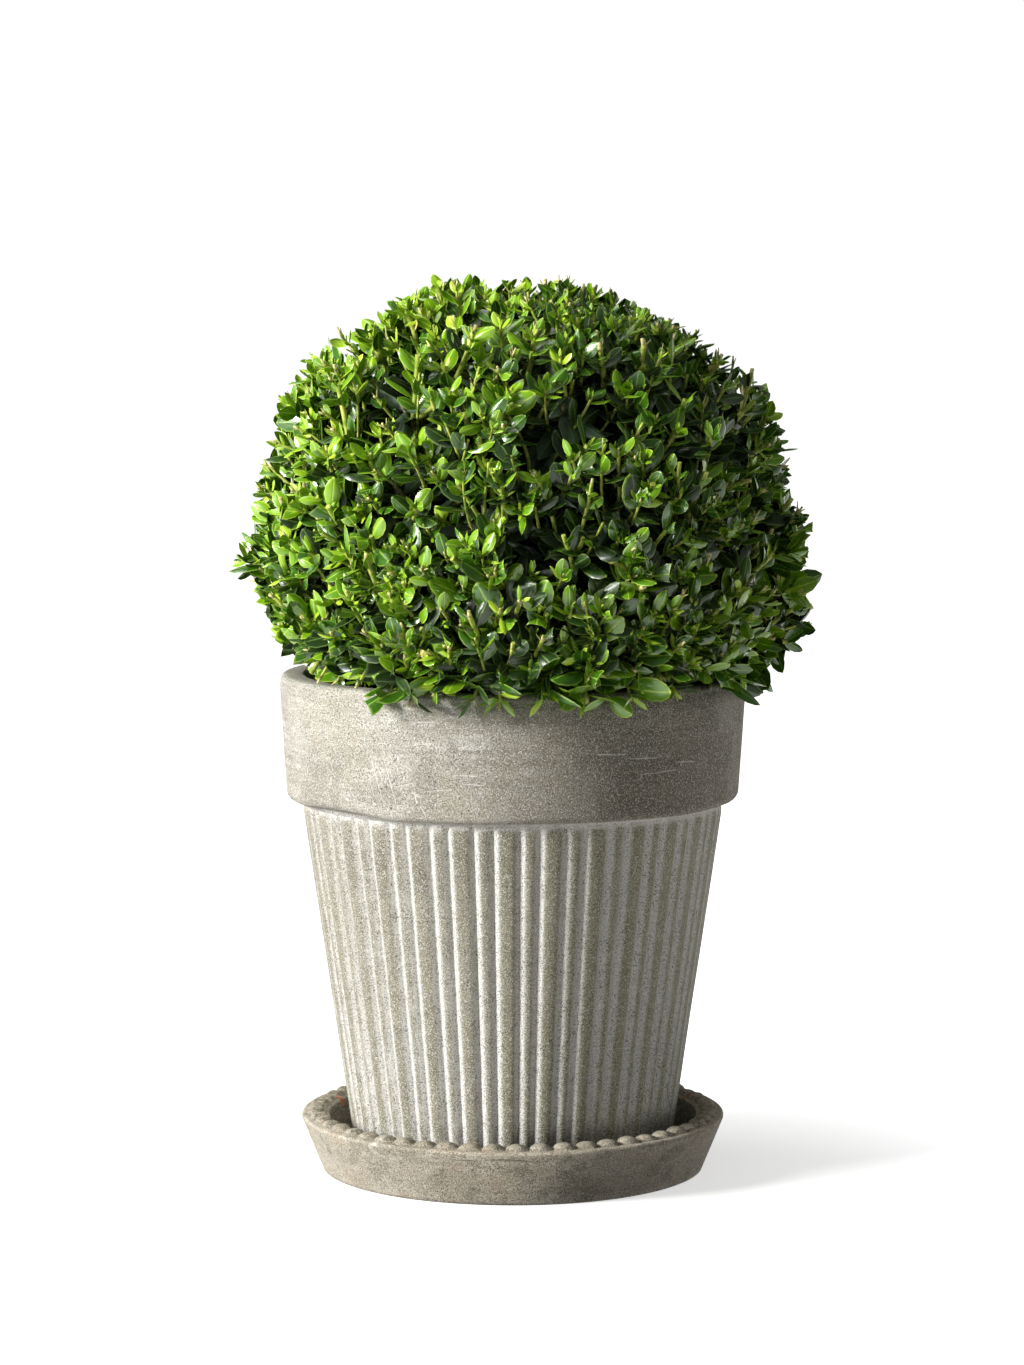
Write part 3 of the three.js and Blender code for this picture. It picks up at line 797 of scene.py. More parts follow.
# %% Boughs and twigs
BOUGHS, TWIGS, SKIRT_TWIGS = 11, 88, 17
SHOOTS, LOWEST_SHOOT = 2050, -0.34
SKIRT_RINGS = ((70, -0.25), (60, -0.31))  # count and height of rings of shoots near the rim
LOOSE_SPRIGS = [  # directions from the heart
    (0.97, -0.12, -0.10), (0.93, -0.25, -0.16), (0.95, 0.05, -0.20), (0.98, -0.15, -0.03),
    (0.96, -0.20, 0.02), (0.84, -0.10, 0.56), (-0.97, -0.15, 0.13), (-0.80, -0.25, 0.50),
    (-0.55, -0.25, 0.78), (0.90, 0.30, 0.10), (-0.85, 0.40, -0.10), (0.10, 0.95, 0.20)]
OVERHANGING = [  # bearing, radius and height of tips that hang over the rim
    (-46, 126, 273), (-30, 128, 268), (-24, 128, 266), (-18, 127, 270), (-9, 128, 267),
    (-3, 129, 266), (7, 128, 267), (17, 128, 268), (22, 129, 266), (28, 129, 265), (41, 128, 267),
    (59, 127, 270), (67, 126, 272), (85, 127, 268), (118, 128, 267), (133, 127, 270),
    (150, 127, 268), (178, 129, 266), (-155, 127, 268), (-120, 128, 267), (-59, 123, 274),
    (-53, 125, 273), (-39, 125, 273), (91, 142, 290), (82, 140, 285), (98, 139, 284),
    (88, 126, 276), (75, 130, 280), (103, 129, 278)]
stem_low, stem_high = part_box("stem")
FORK_RISE = 22.3  # the boughs part this far above the stem's top
FORK = np.array([2.0, 0.0, stem_high.z / MM + FORK_RISE])
draw = np.random.RandomState(20)


def stray(count, size):
    return (draw.rand(count, 3) - 0.5) * size


def bent(start, knee, end, steps):
    """Smooth paths from start to end, drawn towards a knee: one row of points each."""
    t = np.linspace(0, 1, steps)[None, :, None]
    return (1 - t) ** 2 * start[:, None] + 2 * t * (1 - t) * knee[:, None] + t ** 2 * end[:, None]


def end_axis(paths):
    return unit(paths[:, -1] - paths[:, -2])


bough_tips = on_face(even_ways(BOUGHS, -0.1), np.full(BOUGHS, 0.55))
twig_ways = unit(np.vstack([even_ways(TWIGS, -0.26), ring_ways(SKIRT_TWIGS, -0.21)])
                 + stray(TWIGS + SKIRT_TWIGS, 0.1))
twig_tips = on_face(twig_ways, 0.88 - 0.05 * draw.rand(len(twig_ways)))
twig_knees = twig_tips - unit(twig_ways + [0, 0, 0.16]) * 40
twig_paths = bent(bough_tips[nearest_gap(twig_knees, bough_tips)[1]], twig_knees, twig_tips, 8)
print("twigs", len(twig_paths), "on", BOUGHS, "boughs")

# %% Where shoots end
shoot_ways = unit(np.vstack([even_ways(SHOOTS, LOWEST_SHOOT)] + [ring_ways(*r) for r in SKIRT_RINGS])
                  + stray(SHOOTS + sum(r[0] for r in SKIRT_RINGS), 0.11))
thick_of = clump(shoot_ways)
low_down = np.clip((-0.14 - shoot_ways[:, 2]) / 0.12, 0, 1)
airy = np.clip(shoot_ways[:, 0] - 0.70, 0, 0.2) * np.clip(0.05 - shoot_ways[:, 2], 0, 0.2) / 0.04
likely = (0.30 + 0.70 * np.maximum(thick_of, 0.75 * low_down)) * (1 - 0.65 * airy)
grows = draw.rand(len(shoot_ways)) < likely
shoot_share = 0.950 + 0.048 * np.sqrt(thick_of) - 0.090 * draw.rand(len(shoot_ways)) ** 2
shoot_ways = np.vstack([shoot_ways[grows], unit(np.array(LOOSE_SPRIGS))])
shoot_share = np.concatenate([shoot_share[grows], np.full(len(LOOSE_SPRIGS), 1.025)])
hang_turn, hang_out, hang_up = np.array(OVERHANGING, float).T
hang_turn = np.radians(hang_turn)
hang_tips = np.stack([np.sin(hang_turn) * hang_out, -np.cos(hang_turn) * hang_out, hang_up], 1)
shoot_tips = np.vstack([on_face(shoot_ways, shoot_share), hang_tips])
low_down = np.concatenate([low_down[grows], np.full(len(LOOSE_SPRIGS), 0.4), np.ones(len(hang_tips))])
shoot_ways = np.vstack([shoot_ways, unit(hang_tips - HEART)])
count = len(shoot_ways)
hanging = np.arange(count) >= count - len(hang_tips)
loose = (np.arange(count) >= grows.sum()) & ~hanging
print("shoots", grows.sum(), "even,", loose.sum(), "loose,", hanging.sum(), "hanging")

# %% Shoots back to their twigs
RIM_CLEAR_IN, RIM_CLEAR_UP = 14, 9  # how far in from the rim's edge or over it even shoots may end
rise = np.zeros((count, 3))
rise[:, 2] = 0.75 - 1.15 * low_down - 0.5 * hanging
shoot_aim = unit(shoot_ways * [1, 1, 0.6] + rise + stray(count, 1.0) * (1 - 0.6 * low_down[:, None]))
shoot_knees = shoot_tips - shoot_aim * (30 + 16 * draw.rand(count))[:, None]
forks = twig_paths[:, 3:7].reshape(-1, 3)
shoot_paths = bent(forks[nearest_gap(shoot_knees, forks)[1]], shoot_knees, shoot_tips, 7)
kept = off_pot(shoot_paths[:, 3:].reshape(-1, 3)).reshape(count, -1).all(1)
kept &= (hanging | (np.hypot(shoot_tips[:, 0], shoot_tips[:, 1]) < BAND_TOP_R - RIM_CLEAR_IN)
         | (shoot_tips[:, 2] > RIM_TOP + RIM_CLEAR_UP))
shoot_paths, shoot_ways, low_down, loose, hanging = (
    values[kept] for values in (shoot_paths, shoot_ways, low_down, loose, hanging))
print("shoots kept", kept.sum(), "of", count)

# %% [markdown]
# ## Bark, and the wood inside
# Stem and boughs are swept tubes whose skin is raised in ridges along the grain. Twigs and shoots
# are the same tubes with fewer sides. One tree makes them all, from lines that carry a thickness.

# %% Limb tree
def limb_tree():
    plan, given = new_tree("limbs", sides=6, bark_relief=0.0, ridge_length=0.25)
    line = plan.add("GeometryNodeMeshToCurve", {}, {0: given.geometry})
    ring = plan.add("GeometryNodeCurvePrimitiveCircle", {}, {"Resolution": given.sides, "Radius": 1.0})
    tube = plan.add("GeometryNodeCurveToMesh", {}, {
        "Curve": line, "Profile Curve": ring, "Scale": plan.read("thick"), "Fill Caps": True})
    x, y, z = plan.split(plan.add("GeometryNodeInputPosition"))
    grain = plan.noise(plan.join(x, y, z * given.ridge_length), 420.0, 3.0, 0.6) - 0.5
    offset = plan.add("ShaderNodeVectorMath", {"operation": "SCALE"}, {
        0: plan.add("GeometryNodeInputNormal"), "Scale": grain * given.bark_relief})
    return close_tree(plan, plan.move(tube, offset))


def lines_mesh(name, paths, thick):
    """Separate lines, one for each row of points, with their radii in mm."""
    rows, steps, _ = paths.shape
    first = np.arange(rows * steps).reshape(rows, steps)
    edges = np.stack([first[:, :-1].ravel(), first[:, 1:].ravel()], 1).tolist()
    return plain_mesh(name, paths.reshape(-1, 3), (), edges,
                      thick=(np.broadcast_to(thick, (rows, steps)) * MM).ravel())


limbs = limb_tree()


def grow(name, paths, thick, sides, relief_mm, ridge_length, finish, slot, *replaced):
    """Sweeps paths of given radii into one piece of wood."""
    wood = run_tree(name, limbs, lines_mesh(name + "_lines", paths, thick), sides=sides,
                    bark_relief=relief_mm * MM, ridge_length=ridge_length, finish=finish)
    return settle(wood, slot, *replaced)


# %% Stem, boughs, twigs and shoots
bark = rough_finish("bark", (0.115, 0.082, 0.048), (0.330, 0.270, 0.165), 2.0, 0.85, 0.6)
old_wood = rough_finish("twig_wood", (0.100, 0.095, 0.045), (0.285, 0.250, 0.130), 1.6, 0.75, 0.3)
young_wood = rough_finish("green_shoot", (0.190, 0.290, 0.030), (0.560, 0.600, 0.130), 6.0, 0.50, 0.15)

stem_foot = np.array([0.0, 0.0, stem_low.z / MM + 0.2])
climb = np.linspace(0, 1, 24)
stem_path = (stem_foot + (FORK + [0, 0, 3] - stem_foot) * climb[:, None])[None]
stem_radii = 9.0 + 4.0 * np.exp(-climb * 8) - 2.4 * climb
grow("main_stem", stem_path, stem_radii, 40, 1.8, 0.22, bark, "bark", "stem")
forked = np.tile(FORK, (BOUGHS, 1))
bough_paths = bent(forked, FORK + (bough_tips - FORK) * 0.5 + [0, 0, -12], bough_tips, 16)
grow("boughs", bough_paths, np.linspace(4.0, 2.2, 16), 16, 1.0, 0.3, bark, "bark")
grow("twigs", twig_paths, np.linspace(2.0, 1.2, 8), 7, 0.3, 0.3, old_wood, "bark")
stoutness = 0.72 + 0.95 * draw.rand(len(shoot_paths), 1) ** 2.5
grow("shoots", shoot_paths, np.linspace(1.20, 0.98, 7) * stoutness, 5, 0.25, 0.5, young_wood, "leaves")

# %% [markdown]
# ## Leaves
# Box leaves are small ovals in opposite pairs, each pair a quarter turn round from the last. They
# are leathery and convex, with a fine crease along the middle and a pale, rolled margin. Each is a
# few faces in its own outline. Shears have cut some straight across, so one form has no tip, and
# the tufts of new growth have a smaller, simpler form.

# %% Leaf forms
LEAF_ROWS = np.array([0.0, 0.07, 0.24, 0.48, 0.72, 0.90, 1.0])
LEAF_HALF = np.array([0.014, 0.034, 0.190, 0.282, 0.258, 0.150, 0.016])
TUFT_ROWS = np.array([0.0, 0.30, 0.70, 1.0])
TUFT_HALF = np.array([0.015, 0.150, 0.160, 0.012])
FINE, COARSE = (-1.0, -0.55, 0.0, 0.55, 1.0), (-1.0, 0.0, 1.0)  # places across a leaf
CUT_FORM, TUFT_FORM, INNER_FORM = 3, 4, 5  # numbers of the forms below; 0 to 2 are whole leaves


def leaf_form(name, arch, curl, twist=0.0, cut=None, rows=LEAF_ROWS, half=LEAF_HALF, across=FINE):
    """A leaf one unit long on +X with its upper face to +Z. cut is where shears took its tip off."""
    if cut:
        kept_rows = np.concatenate([rows[rows < cut], [cut]])
        rows, half = kept_rows, np.interp(kept_rows, rows, half)
    u, v = np.meshgrid(rows, np.array(across), indexing="ij")
    wide = half[:, None] * v
    slant = 0.10 * v * (u == rows[-1]) if cut else 0.0
    height = arch * np.sin(np.pi * u) - curl * v * v * half[:, None] - 0.02 * (v == 0) * np.sin(np.pi * u)
    height = height - 0.12 * u * u + twist * wide * u
    points = np.stack([u + slant, wide, height], -1).reshape(-1, 3)
    cols, lines = len(across), len(rows)
    faces = [(i * cols + j, (i + 1) * cols + j, (i + 1) * cols + j + 1, i * cols + j + 1)
             for i in range(lines - 1) for j in range(cols - 1)]
    made = plain_mesh(name, points / MM, faces)
    layer = made.uv_layers.new(name="leaf")
    flat = np.stack([u.ravel() / rows[-1], v.ravel() * 0.5 + 0.5], 1)
    corners = np.array([loop.vertex_index for loop in made.loops])
    layer.data.foreach_set("uv", flat[corners].ravel())
    leaf_forms.objects.link(bpy.data.objects.new(name, made))


leaf_forms = bpy.data.collections.new("leaf_forms")
leaf_form("leaf_0", 0.05, 0.35)
leaf_form("leaf_1", 0.09, 0.60, 0.25)
leaf_form("leaf_2", 0.02, 0.20, -0.25)
leaf_form("leaf_3_cut", 0.05, 0.35, cut=0.55)
leaf_form("leaf_4_tuft", 0.04, 0.60, rows=TUFT_ROWS, half=TUFT_HALF, across=COARSE)
leaf_form("leaf_5_inner", 0.05, 0.40, across=COARSE)


# %% [markdown]
# ### Leaf finish
# Every leaf carries its own shade, dealt out by shoot, and its own map, from stalk to tip and from
# margin to margin. The map draws the pale midrib and margin; the shade moves the green between a
# dark and a light one. Box leaves shine, so the finish is fairly smooth with a thin clear coat.

# %% Leaf finish and leaf tree
def leaf_finish(name, dark, light, rib, roughness, coat):
    material, plan, mm = new_finish(name)
    dark, light, rib = ((*tone, 1) for tone in (dark, light, rib))
    along, across, _ = plan.split(plan.add("ShaderNodeUVMap", {"uv_map": "leaf"}))
    aside = (across - 0.5).math("ABSOLUTE") * 2.0
    blotch = plan.noise(mm, 0.25, 3.0)
    colour = plan.blend(plan.painted("shade"), dark, light)
    colour = plan.blend(blotch.between(0.35, 0.65) * 0.30, colour, dark)
    veins = plan.add("ShaderNodeTexWave", {"wave_type": "BANDS", "bands_direction": "X"}, {
        "Vector": plan.join(along * 7.0 - aside * 2.2, 0.0, 0.0), "Scale": 1.0}, out=1)
    midrib = aside.fading(0.03, 0.14)
    margin = aside.between(0.84, 0.99).math("MAXIMUM", along.between(0.93, 0.99))
    for share in (veins * 0.10, midrib * 0.60, margin * 0.75):
        colour = plan.blend(share, colour, rib)
    height = veins * 0.25 - midrib + blotch * 0.8
    bump = plan.add("ShaderNodeBump", {}, {"Strength": 0.5, "Distance": 0.25 * MM, "Height": height})
    close_finish(plan, {"Base Color": colour, "Roughness": roughness + 0.18 * blotch, "Normal": bump,
                        "Coat Weight": coat, "Coat Roughness": 0.10, "Specular IOR Level": 0.32})
    return material


def leaf_tree():
    plan, given = new_tree("leaves", forms=None, scale=0.001)
    forms = plan.add("GeometryNodeCollectionInfo", {"transform_space": "ORIGINAL"}, {
        "Collection": given.forms, "Separate Children": True, "Reset Children": True})
    way, face = plan.read("way", "FLOAT_VECTOR"), plan.read("face", "FLOAT_VECTOR")
    turn = plan.add("FunctionNodeAxesToRotation", {"primary_axis": "X", "secondary_axis": "Z"}, {
        "Primary Axis": way, "Secondary Axis": face})
    size = plan.read("size") * given.scale
    wide = size * plan.read("girth")
    return close_tree(plan, plan.add("GeometryNodeInstanceOnPoints", {}, {
        "Points": given.geometry, "Instance": forms, "Pick Instance": True,
        "Instance Index": plan.read("form"), "Rotation": turn, "Scale": plan.join(size, wide, size)}))


# %% [markdown]
# ### Where the leaves go
# Each shoot was cut a few millimetres beyond its last pair of leaves. Further back come more pairs,
# larger and darker, down into the shade of the ball. Some shoots have sprouted again near the cut
# and carry a tuft of small bright leaves. A leaf that would pass the clipped face is cut or left
# out, and one that would touch the rim is turned up, or left out if that does not help.

# %% One pair on every shoot
def along_path(paths, back):
    """Points, and directions to the tip, at a distance back from the end of each path."""
    spot = paths[:, -1].copy()
    aim = paths[:, -1] - paths[:, -2]
    left = back.copy()
    for k in range(paths.shape[1] - 1, 0, -1):
        step = paths[:, k - 1] - paths[:, k]
        length = np.linalg.norm(step, axis=1)
        walk = np.minimum(left, length)
        spot += step / length[:, None] * walk[:, None]
        aim = np.where((left > 0)[:, None], -step, aim)
        left = left - walk
    return spot, unit(aim)


def square_to(axis, vectors):
    """Unit vectors square to an axis, each as near as it can be to the one given."""
    return unit(vectors - axis * (vectors * axis).sum(1, keepdims=True))


FIELDS = ("root", "way", "face", "size", "girth", "age", "tint", "chance")


def pair_leaves(paths, ways, back, sideways, splay, size, tint, age, untidy=0.5):
    """One opposite pair on every path, `back` mm from its tip: the fields of its two leaves."""
    root, axis = along_path(paths, back)
    sideways = square_to(axis, sideways)
    halves = []
    for hand in (-1, 1):
        open_ = np.radians(splay + 26 * (draw.rand(len(paths)) - 0.5))[:, None]
        way = unit(axis * np.cos(open_) + hand * sideways * np.sin(open_) + stray(len(paths), untidy * 0.6))
        face = square_to(way, axis * 1.0 + ways * 0.25 + stray(len(paths), untidy * 2.6))
        long = size * (0.74 + 0.48 * draw.rand(len(paths)))
        halves.append([root, way, face, long, 0.64 + 0.42 * draw.rand(len(paths)),
                       np.full(len(paths), age), tint, draw.rand(len(paths))])
    return halves


# %% Deal out the leaves
OUTER_PAIRS = [  # share of the shoots that bear it, splay in degrees, length; from the tip inward
    (0.95, 32, 13.2), (0.95, 42, 16.2), (0.75, 50, 17.4), (0.45, 57, 18.0), (0.38, 62, 18.5),
    (0.32, 66, 19.0), (0.28, 66, 19.0)]
DEEP_SHARES = (0.45, 0.35, 0.25, 0.15)
TUFT_PAIRS = ((22, 5.5), (36, 7.5), (50, 9.5))  # splay and length
SIDE_TUFT_PAIRS = ((30, 6.5), (48, 8.5))
DEEP_AGE, TUFT_AGE, SIDE_TUFT_AGE = 1.2, -0.2, -0.15  # outer pairs run from 0 at the tip to 1


def deal_leaves():
    """All leaves: outer pairs, pairs deep inside, tufts. Also returns the number of outer leaves."""
    count, axis = len(shoot_paths), end_axis(shoot_paths)
    halves = []

    def bear(some, back, sideways, splay, size, age, untidy=0.5):
        halves.extend(pair_leaves(shoot_paths[some], shoot_ways[some], back, sideways[some],
                                  splay, size, tint[some], age, untidy))

    step = 5.5 + 3.0 * draw.rand(count)
    tint, vigour = draw.rand(count), 0.80 + 0.40 * draw.rand(count)
    vigour *= (1.15 - 0.33 * np.clip(shoot_ways[:, 2], 0, 1) + 0.22 * low_down
               - 0.25 * loose + 0.25 * hanging)
    first = 2.0 + 5.0 * draw.rand(count) ** 1.5 + 6.0 * (draw.rand(count) < 0.15)
    first[hanging] = 1.5
    sideways = unit(np.cross(axis, unit(stray(count, 1.0))))
    for pair, (share, splay, size) in enumerate(OUTER_PAIRS):
        some = draw.rand(count) < share + 0.5 * hanging * (pair < 3)
        if pair:
            sideways = np.cross(axis, sideways)
        back = first + pair * step * (1.0 if pair < 3 else 1.12)
        bear(some, back[some], sideways, splay, (size * vigour)[some], min(pair / 4.0, 1.0))
    plain_count = sum(len(half[0]) for half in halves)

    for pair, share in enumerate(DEEP_SHARES):
        some = draw.rand(count) < share
        sideways = np.cross(axis, sideways)
        back = 40.0 + 9.0 * pair + 6.0 * draw.rand(some.sum())
        bear(some, back, sideways, 70, np.full(some.sum(), 21.0), DEEP_AGE, 0.8)
    inner = np.repeat(twig_paths, 2, axis=0)
    inner_ways, inner_axis, inner_count = unit(inner[:, -1] - HEART), end_axis(inner), len(inner)
    aside = unit(np.cross(inner_axis, unit(stray(inner_count, 1.0))))
    for pair in range(7):
        aside = np.cross(inner_axis, aside) + stray(inner_count, 0.8)
        back = 3.0 + 9.0 * pair + 8.0 * draw.rand(inner_count)
        halves.extend(pair_leaves(inner, inner_ways, back, aside, 75, np.full(inner_count, 25.0),
                                  draw.rand(inner_count), DEEP_AGE, 0.8))

    sprouts = draw.rand(count) < 0.58 + 0.22 * shoot_ways[:, 2]
    for pair, (splay, size) in enumerate(TUFT_PAIRS):
        sideways = np.cross(axis, sideways)
        bear(sprouts, first[sprouts] * 0.4 + pair * 1.6, sideways, splay, size * vigour[sprouts],
             TUFT_AGE, 0.9)
    beside = draw.rand(count) < 0.40
    beside_at = 7.0 + 8.0 * draw.rand(beside.sum())
    for pair, (splay, size) in enumerate(SIDE_TUFT_PAIRS):
        sideways = unit(np.cross(axis, sideways) + stray(count, 0.9))
        bear(beside, beside_at + pair * 1.8, sideways, splay, size * vigour[beside], SIDE_TUFT_AGE, 0.9)
    columns = [np.concatenate(column) for column in zip(*halves)]
    return types.SimpleNamespace(**dict(zip(FIELDS, columns))), plain_count


def clear_of_pot(leaf):
    """Tests points over each leaf: its middle, its tip and both sides."""
    side = np.cross(leaf.face, leaf.way) * (leaf.size * leaf.girth)[:, None] * 0.28
    long = leaf.way * leaf.size[:, None]
    drop = leaf.face * leaf.size[:, None] * 0.1
    return np.all([off_pot(spots) for spots in (
        leaf.root + long * 0.3, leaf.root + long * 0.6 - drop, leaf.root + long - drop,
        leaf.root + long * 0.55 + side - drop, leaf.root + long * 0.55 - side - drop)], axis=0)


def turned_up(leaf):
    """Turns leaves that would touch the rim up, step by step; returns the ones that stay clear."""
    for _ in range(4):
        low = ~clear_of_pot(leaf)
        leaf.way[low] = unit(leaf.way[low] + [0, 0, 0.35])
        leaf.face[low] = square_to(leaf.way[low], leaf.face[low])
    return clear_of_pot(leaf)


leaf, plain_count = deal_leaves()
clear = turned_up(leaf)
print("leaves dealt", len(clear), "clear of the pot", clear.sum())

# %% What the shears left
RIM_BARE_IN, RIM_BARE_UP = 8, 5  # no leaf but a hanging sprig's comes this near the rim's edge
LEFT_BARE_X, LEFT_BARE_LEAN, LEFT_BARE_UP = -118, 0.8, 26  # and none left of a line that leans out
HANG_NEAR, LOOSE_NEAR = 14, 22  # how near a root is to the tip it belongs to
BOX_SLACK = 4.0  # how far past the solids' box a tip may stand

small_form = np.arange(len(clear)) >= plain_count
tuft = small_form & (leaf.age < 0)
outward = unit(leaf.root - HEART)
limit = 1.006 + 0.034 * draw.rand(len(clear)) ** 2 + 0.14 * np.clip((-0.20 - outward[:, 2]) / 0.10, 0, 1)
limit += 0.10 * (nearest_gap(leaf.root, shoot_paths[loose, -1])[0] < LOOSE_NEAR)
tip = leaf.root + leaf.way * leaf.size[:, None]
over_rim = tip[:, 2] - RIM_TOP
fringe = (np.hypot(tip[:, 0], tip[:, 1]) > BAND_TOP_R - RIM_BARE_IN) & (tip[:, 2] < RIM_TOP + RIM_BARE_UP)
fringe |= (tip[:, 0] < LEFT_BARE_X - LEFT_BARE_LEAN * over_rim) & (tip[:, 2] < RIM_TOP + LEFT_BARE_UP)
hangs = (nearest_gap(leaf.root, shoot_paths[hanging, -1])[0] < HANG_NEAR) & (leaf.size > 11.0)
clear &= ~fringe | hangs | (leaf.chance < 0.10)
crown_low, crown_high = (np.array(corner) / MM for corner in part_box("foliage"))
clear &= ((tip > crown_low - BOX_SLACK) & (tip < crown_high + BOX_SLACK)).all(1)
clear &= (outward[:, 2] > -0.10) | (leaf.age < 1.0) | (leaf.chance < 0.45)
whole = fullness(tip) <= limit
cut = ~whole & ~small_form & (fullness(leaf.root + leaf.way * leaf.size[:, None] * 0.5) < limit)
clear &= (whole | cut) & (tip[:, 2] > RIM_TOP - 12)
form = np.select([small_form, cut, leaf.age > 0.6], [TUFT_FORM, CUT_FORM, INNER_FORM],
                 (leaf.chance * 2.999).astype(int))
print("leaves", clear.sum(), "outer", (clear & ~small_form).sum(), "cut", (clear & cut).sum(),
      "tufts", (clear & tuft).sum(), "deep", (clear & small_form & ~tuft).sum())

# %% [markdown]
# ### Six shades of leaf
# New leaves are yellow-green, last year's are deep green, and a few turn straw-coloured. One finish
# for all would look painted. So each leaf gets a rank from its age, its shoot and its side of the ball,
# and the rank deals it to one of six pieces, each with greens of its own. Leaves towards the upper left
# rank younger and lighter: partly new growth on the sunny side, partly painted light from the key's
# side. Some shoots low at the front are made lighter as painted light too.

# %% Leaf pieces by shade
LEAF_PIECES = [  # dark and light green, midrib and margin, roughness, coat
    ("leaves_young", (0.250, 0.490, 0.004), (0.700, 0.880, 0.030), (0.780, 0.860, 0.220), 0.24, 0.38),
    ("leaves_fresh", (0.052, 0.200, 0.001), (0.340, 0.610, 0.003), (0.600, 0.780, 0.100), 0.17, 0.55),
    ("leaves_grown", (0.007, 0.048, 0.001), (0.040, 0.158, 0.001), (0.340, 0.520, 0.080), 0.16, 0.50),
    ("leaves_old", (0.006, 0.018, 0.005), (0.014, 0.042, 0.006), (0.190, 0.300, 0.080), 0.20, 0.28),
    ("leaves_deep", (0.032, 0.060, 0.034), (0.056, 0.100, 0.048), (0.120, 0.180, 0.080), 0.32, 0.20),
    ("leaves_turning", (0.460, 0.460, 0.060), (0.760, 0.700, 0.260), (0.520, 0.370, 0.150), 0.34, 0.15)]
DEEP_PIECE, TURNING_PIECE = 4, 5
leaf_nodes = leaf_tree()
in_front = outward[:, 1] < 0.3
# Leaves facing the upper left, towards the key, rank younger and lighter: new growth and painted light.
new_growth_and_light = np.clip(outward @ unit(np.array([-0.55, -0.30, 0.78])), 0, 1) ** 3
rank = leaf.age * 0.56 + leaf.chance * 0.24 + leaf.tint * 0.34 - 0.20 * new_growth_and_light - 0.02
# Low at the front the ranks spread wider, and some shoots are made young and light: fresh growth, and
# painted light for leaves facing away from the key.
rank = 0.415 + (rank - 0.36) * (1 + 0.45 * (outward[:, 2] < 0.10) * in_front)
rank -= 0.32 * ((leaf.tint < 0.20) & (outward[:, 2] < 0.15) & in_front)
group = np.searchsorted([0.13, 0.31, 0.54], rank)
group[(group == 0) & ~tuft & (leaf.size > 11.5)] = 1
group[small_form & ~tuft] = DEEP_PIECE
group[(leaf.chance * 997 % 1 < 0.004) & ~small_form] = TURNING_PIECE
shade = 0.35 * leaf.chance + 0.65 * leaf.tint
for index, (name, *look) in enumerate(LEAF_PIECES):
    mine = clear & (group == index)
    points = plain_mesh(name + "_points", leaf.root[mine], form=form[mine], shade=shade[mine],
                        way=leaf.way[mine], face=leaf.face[mine], size=leaf.size[mine],
                        girth=leaf.girth[mine])
    piece = run_tree(name, leaf_nodes, points, forms=leaf_forms, scale=MM,
                     finish=leaf_finish(name, *look))
    settle(piece, "leaves", *(["foliage"] if index == 0 else []))

# %% [markdown]
# ## Cut ends
# Shears leave each shoot with a small pale stub of fresh wood, soon frayed and brown at the edge.
# Ends could be painted on the shoots, but then they would have no edge to catch the light. So short
# discs are set on half of the shoots, and a few thin splinters stand out of each.

# %% Stubs and splinters
def end_tree():
    plan, given = new_tree("cut_ends", length=0.0026)
    disc = plan.add("GeometryNodeMeshCone", {}, {
        "Vertices": 6, "Radius Top": 0.8, "Radius Bottom": 1.0, "Depth": 1.0})
    turn = plan.add("FunctionNodeAxesToRotation", {"primary_axis": "Z", "secondary_axis": "X"}, {
        "Primary Axis": plan.read("way", "FLOAT_VECTOR"), "Secondary Axis": (1.0, 0.2, 0.1)})
    radius = plan.read("radius")
    return close_tree(plan, plan.add("GeometryNodeInstanceOnPoints", {}, {
        "Points": given.geometry, "Instance": disc, "Rotation": turn,
        "Scale": plan.join(radius, radius, given.length * plan.read("long"))}))


fresh_wood = rough_finish("fresh_wood", (0.340, 0.310, 0.090), (0.740, 0.720, 0.330), 1.6, 0.7, 0.1)
clipped = draw.rand(len(shoot_paths)) < 0.5
end_aim = end_axis(shoot_paths)[clipped] + stray(clipped.sum(), 0.6)
ends = run_tree("cut_ends", end_tree(), plain_mesh(
    "end_points", shoot_paths[clipped, -1], way=end_aim, radius=0.87 * stoutness[clipped, 0] * MM,
    long=0.6 + draw.rand(clipped.sum())), length=3.2 * MM, finish=fresh_wood)
settle(ends, "leaves")

spiked = np.repeat(np.flatnonzero(clipped), 3)
spiked = spiked[draw.rand(len(spiked)) < 0.62]
stub_axis = end_axis(shoot_paths[spiked])
spike_root = shoot_paths[spiked, -1] - stub_axis * (2.5 * draw.rand(len(spiked), 1))
spike_aim = unit(stub_axis + stray(len(spiked), 1.5))
spike_tip = spike_root + spike_aim * (3.0 + 4.0 * draw.rand(len(spiked), 1))
grow("stub_spikes", np.stack([spike_root, spike_tip], 1), np.array([[0.62, 0.22]]),
     4, 0.0, 0.5, fresh_wood, "leaves")
for form_object in list(leaf_forms.objects):
    bpy.data.objects.remove(form_object)
bpy.data.collections.remove(leaf_forms)

# %% [markdown]
# ## Studio
# A soft box low at the left and a little in front lights the plant from the side, with a weak
# even fill, so the right side falls into shade. The floor is white and glows with most of its own light,
# less near the plant: a painted shadow round the saucer, into which the cast shadow fades as it leaves the
# plant. It plays no part in lighting the plant.

# %% Floor and light
def floor_finish():
    """White and glowing, dimmer within a hand's breadth of the saucer: a painted shadow."""
    material, plan, mm = new_finish("floor")
    x, y, _ = plan.split(mm)
    painted_shadow_glow = off_axis(x, y).between(80, 420, 0.56, 1.0)
    close_finish(plan, {"Base Color": (0.8, 0.8, 0.8, 1), "Roughness": 1.0, "Specular IOR Level": 0.0,
                        "Emission Color": plan.join(painted_shadow_glow, painted_shadow_glow, painted_shadow_glow), "Emission Strength": 1.0})
    return material


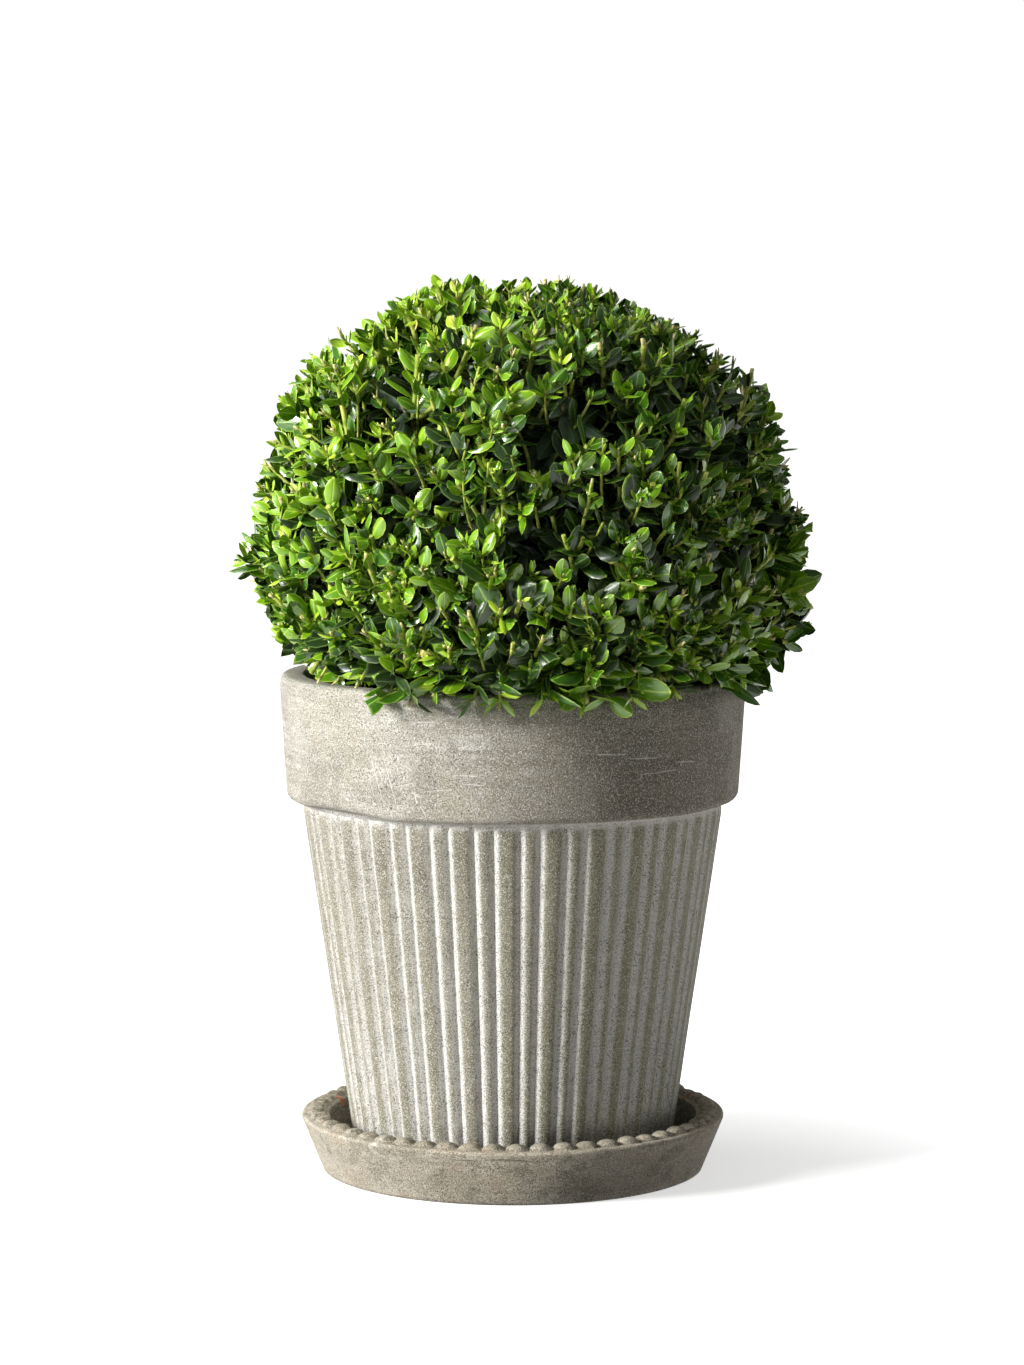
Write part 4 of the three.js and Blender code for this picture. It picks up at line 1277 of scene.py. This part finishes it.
def soft_box(name, place, target, width, height, watts, colour=(1, 1, 1)):
    light = bpy.data.lights.new(name, "AREA")
    light.shape, light.size, light.size_y = "RECTANGLE", width, height
    light.energy, light.color = watts, colour
    lamp = placed(name, light)
    lamp.location = place
    lamp.rotation_euler = (Vector(target) - Vector(place)).to_track_quat("-Z", "Y").to_euler()
    lamp.visible_camera = False


floor_mesh = plain_mesh("floor", [[-9000, -4000, 0], [9000, -4000, 0], [9000, 14000, 0], [-9000, 14000, 0]],
                        [(0, 1, 2, 3)])
floor_mesh.materials.append(floor_finish())
floor = placed("floor", floor_mesh)
floor.visible_diffuse = False

soft_box("key", (-2.50, -1.20, 1.10), (0, 0, 0.26), 1.0, 1.1, 165, (1.0, 0.993, 0.975))
soft_box("top", (-0.7, 0.3, 2.0), (0, 0, 0.40), 1.0, 1.0, 14)
soft_box("edge", (1.5, 0.9, 0.5), (0, 0, 0.25), 0.9, 1.0, 4.5)
soft_box("bounce_front", (0.10, -0.62, 0.004), (0.10, -0.62, 1.0), 1.6, 0.9, 2.2, (1.0, 0.965, 0.890))
soft_box("bounce_right", (0.68, 0.0, 0.004), (0.68, 0.0, 1.0), 0.9, 1.1, 1.6, (1.0, 0.955, 0.870))

world = bpy.data.worlds.new("studio")
bpy.context.scene.world = world
world.use_nodes = True
world.node_tree.nodes.clear()
sky = Plan(world.node_tree)
seen = sky.add("ShaderNodeLightPath")
sky.close("ShaderNodeOutputWorld", sky.add("ShaderNodeBackground", {}, {
    "Color": (1, 1, 1, 1), "Strength": seen * 0.86 + 0.16}))
print("lamps", len(bpy.data.lights))

# %% Camera
CAMERA_PLACE, LOOKS_DOWN, LENS = (-0.0004, -2.30, 0.4915), 5.674, 113.48
camera_data = bpy.data.cameras.new("camera")
camera_data.sensor_width, camera_data.lens = 36.0, LENS
camera_data.clip_end = 40.0
camera = placed("camera", camera_data)
camera.location = CAMERA_PLACE
camera.rotation_euler = (math.radians(90 - LOOKS_DOWN), 0, 0)
bpy.context.scene.camera = camera
bpy.context.scene.view_settings.view_transform = "Standard"
print("camera at", CAMERA_PLACE, "m, lens", LENS, "mm")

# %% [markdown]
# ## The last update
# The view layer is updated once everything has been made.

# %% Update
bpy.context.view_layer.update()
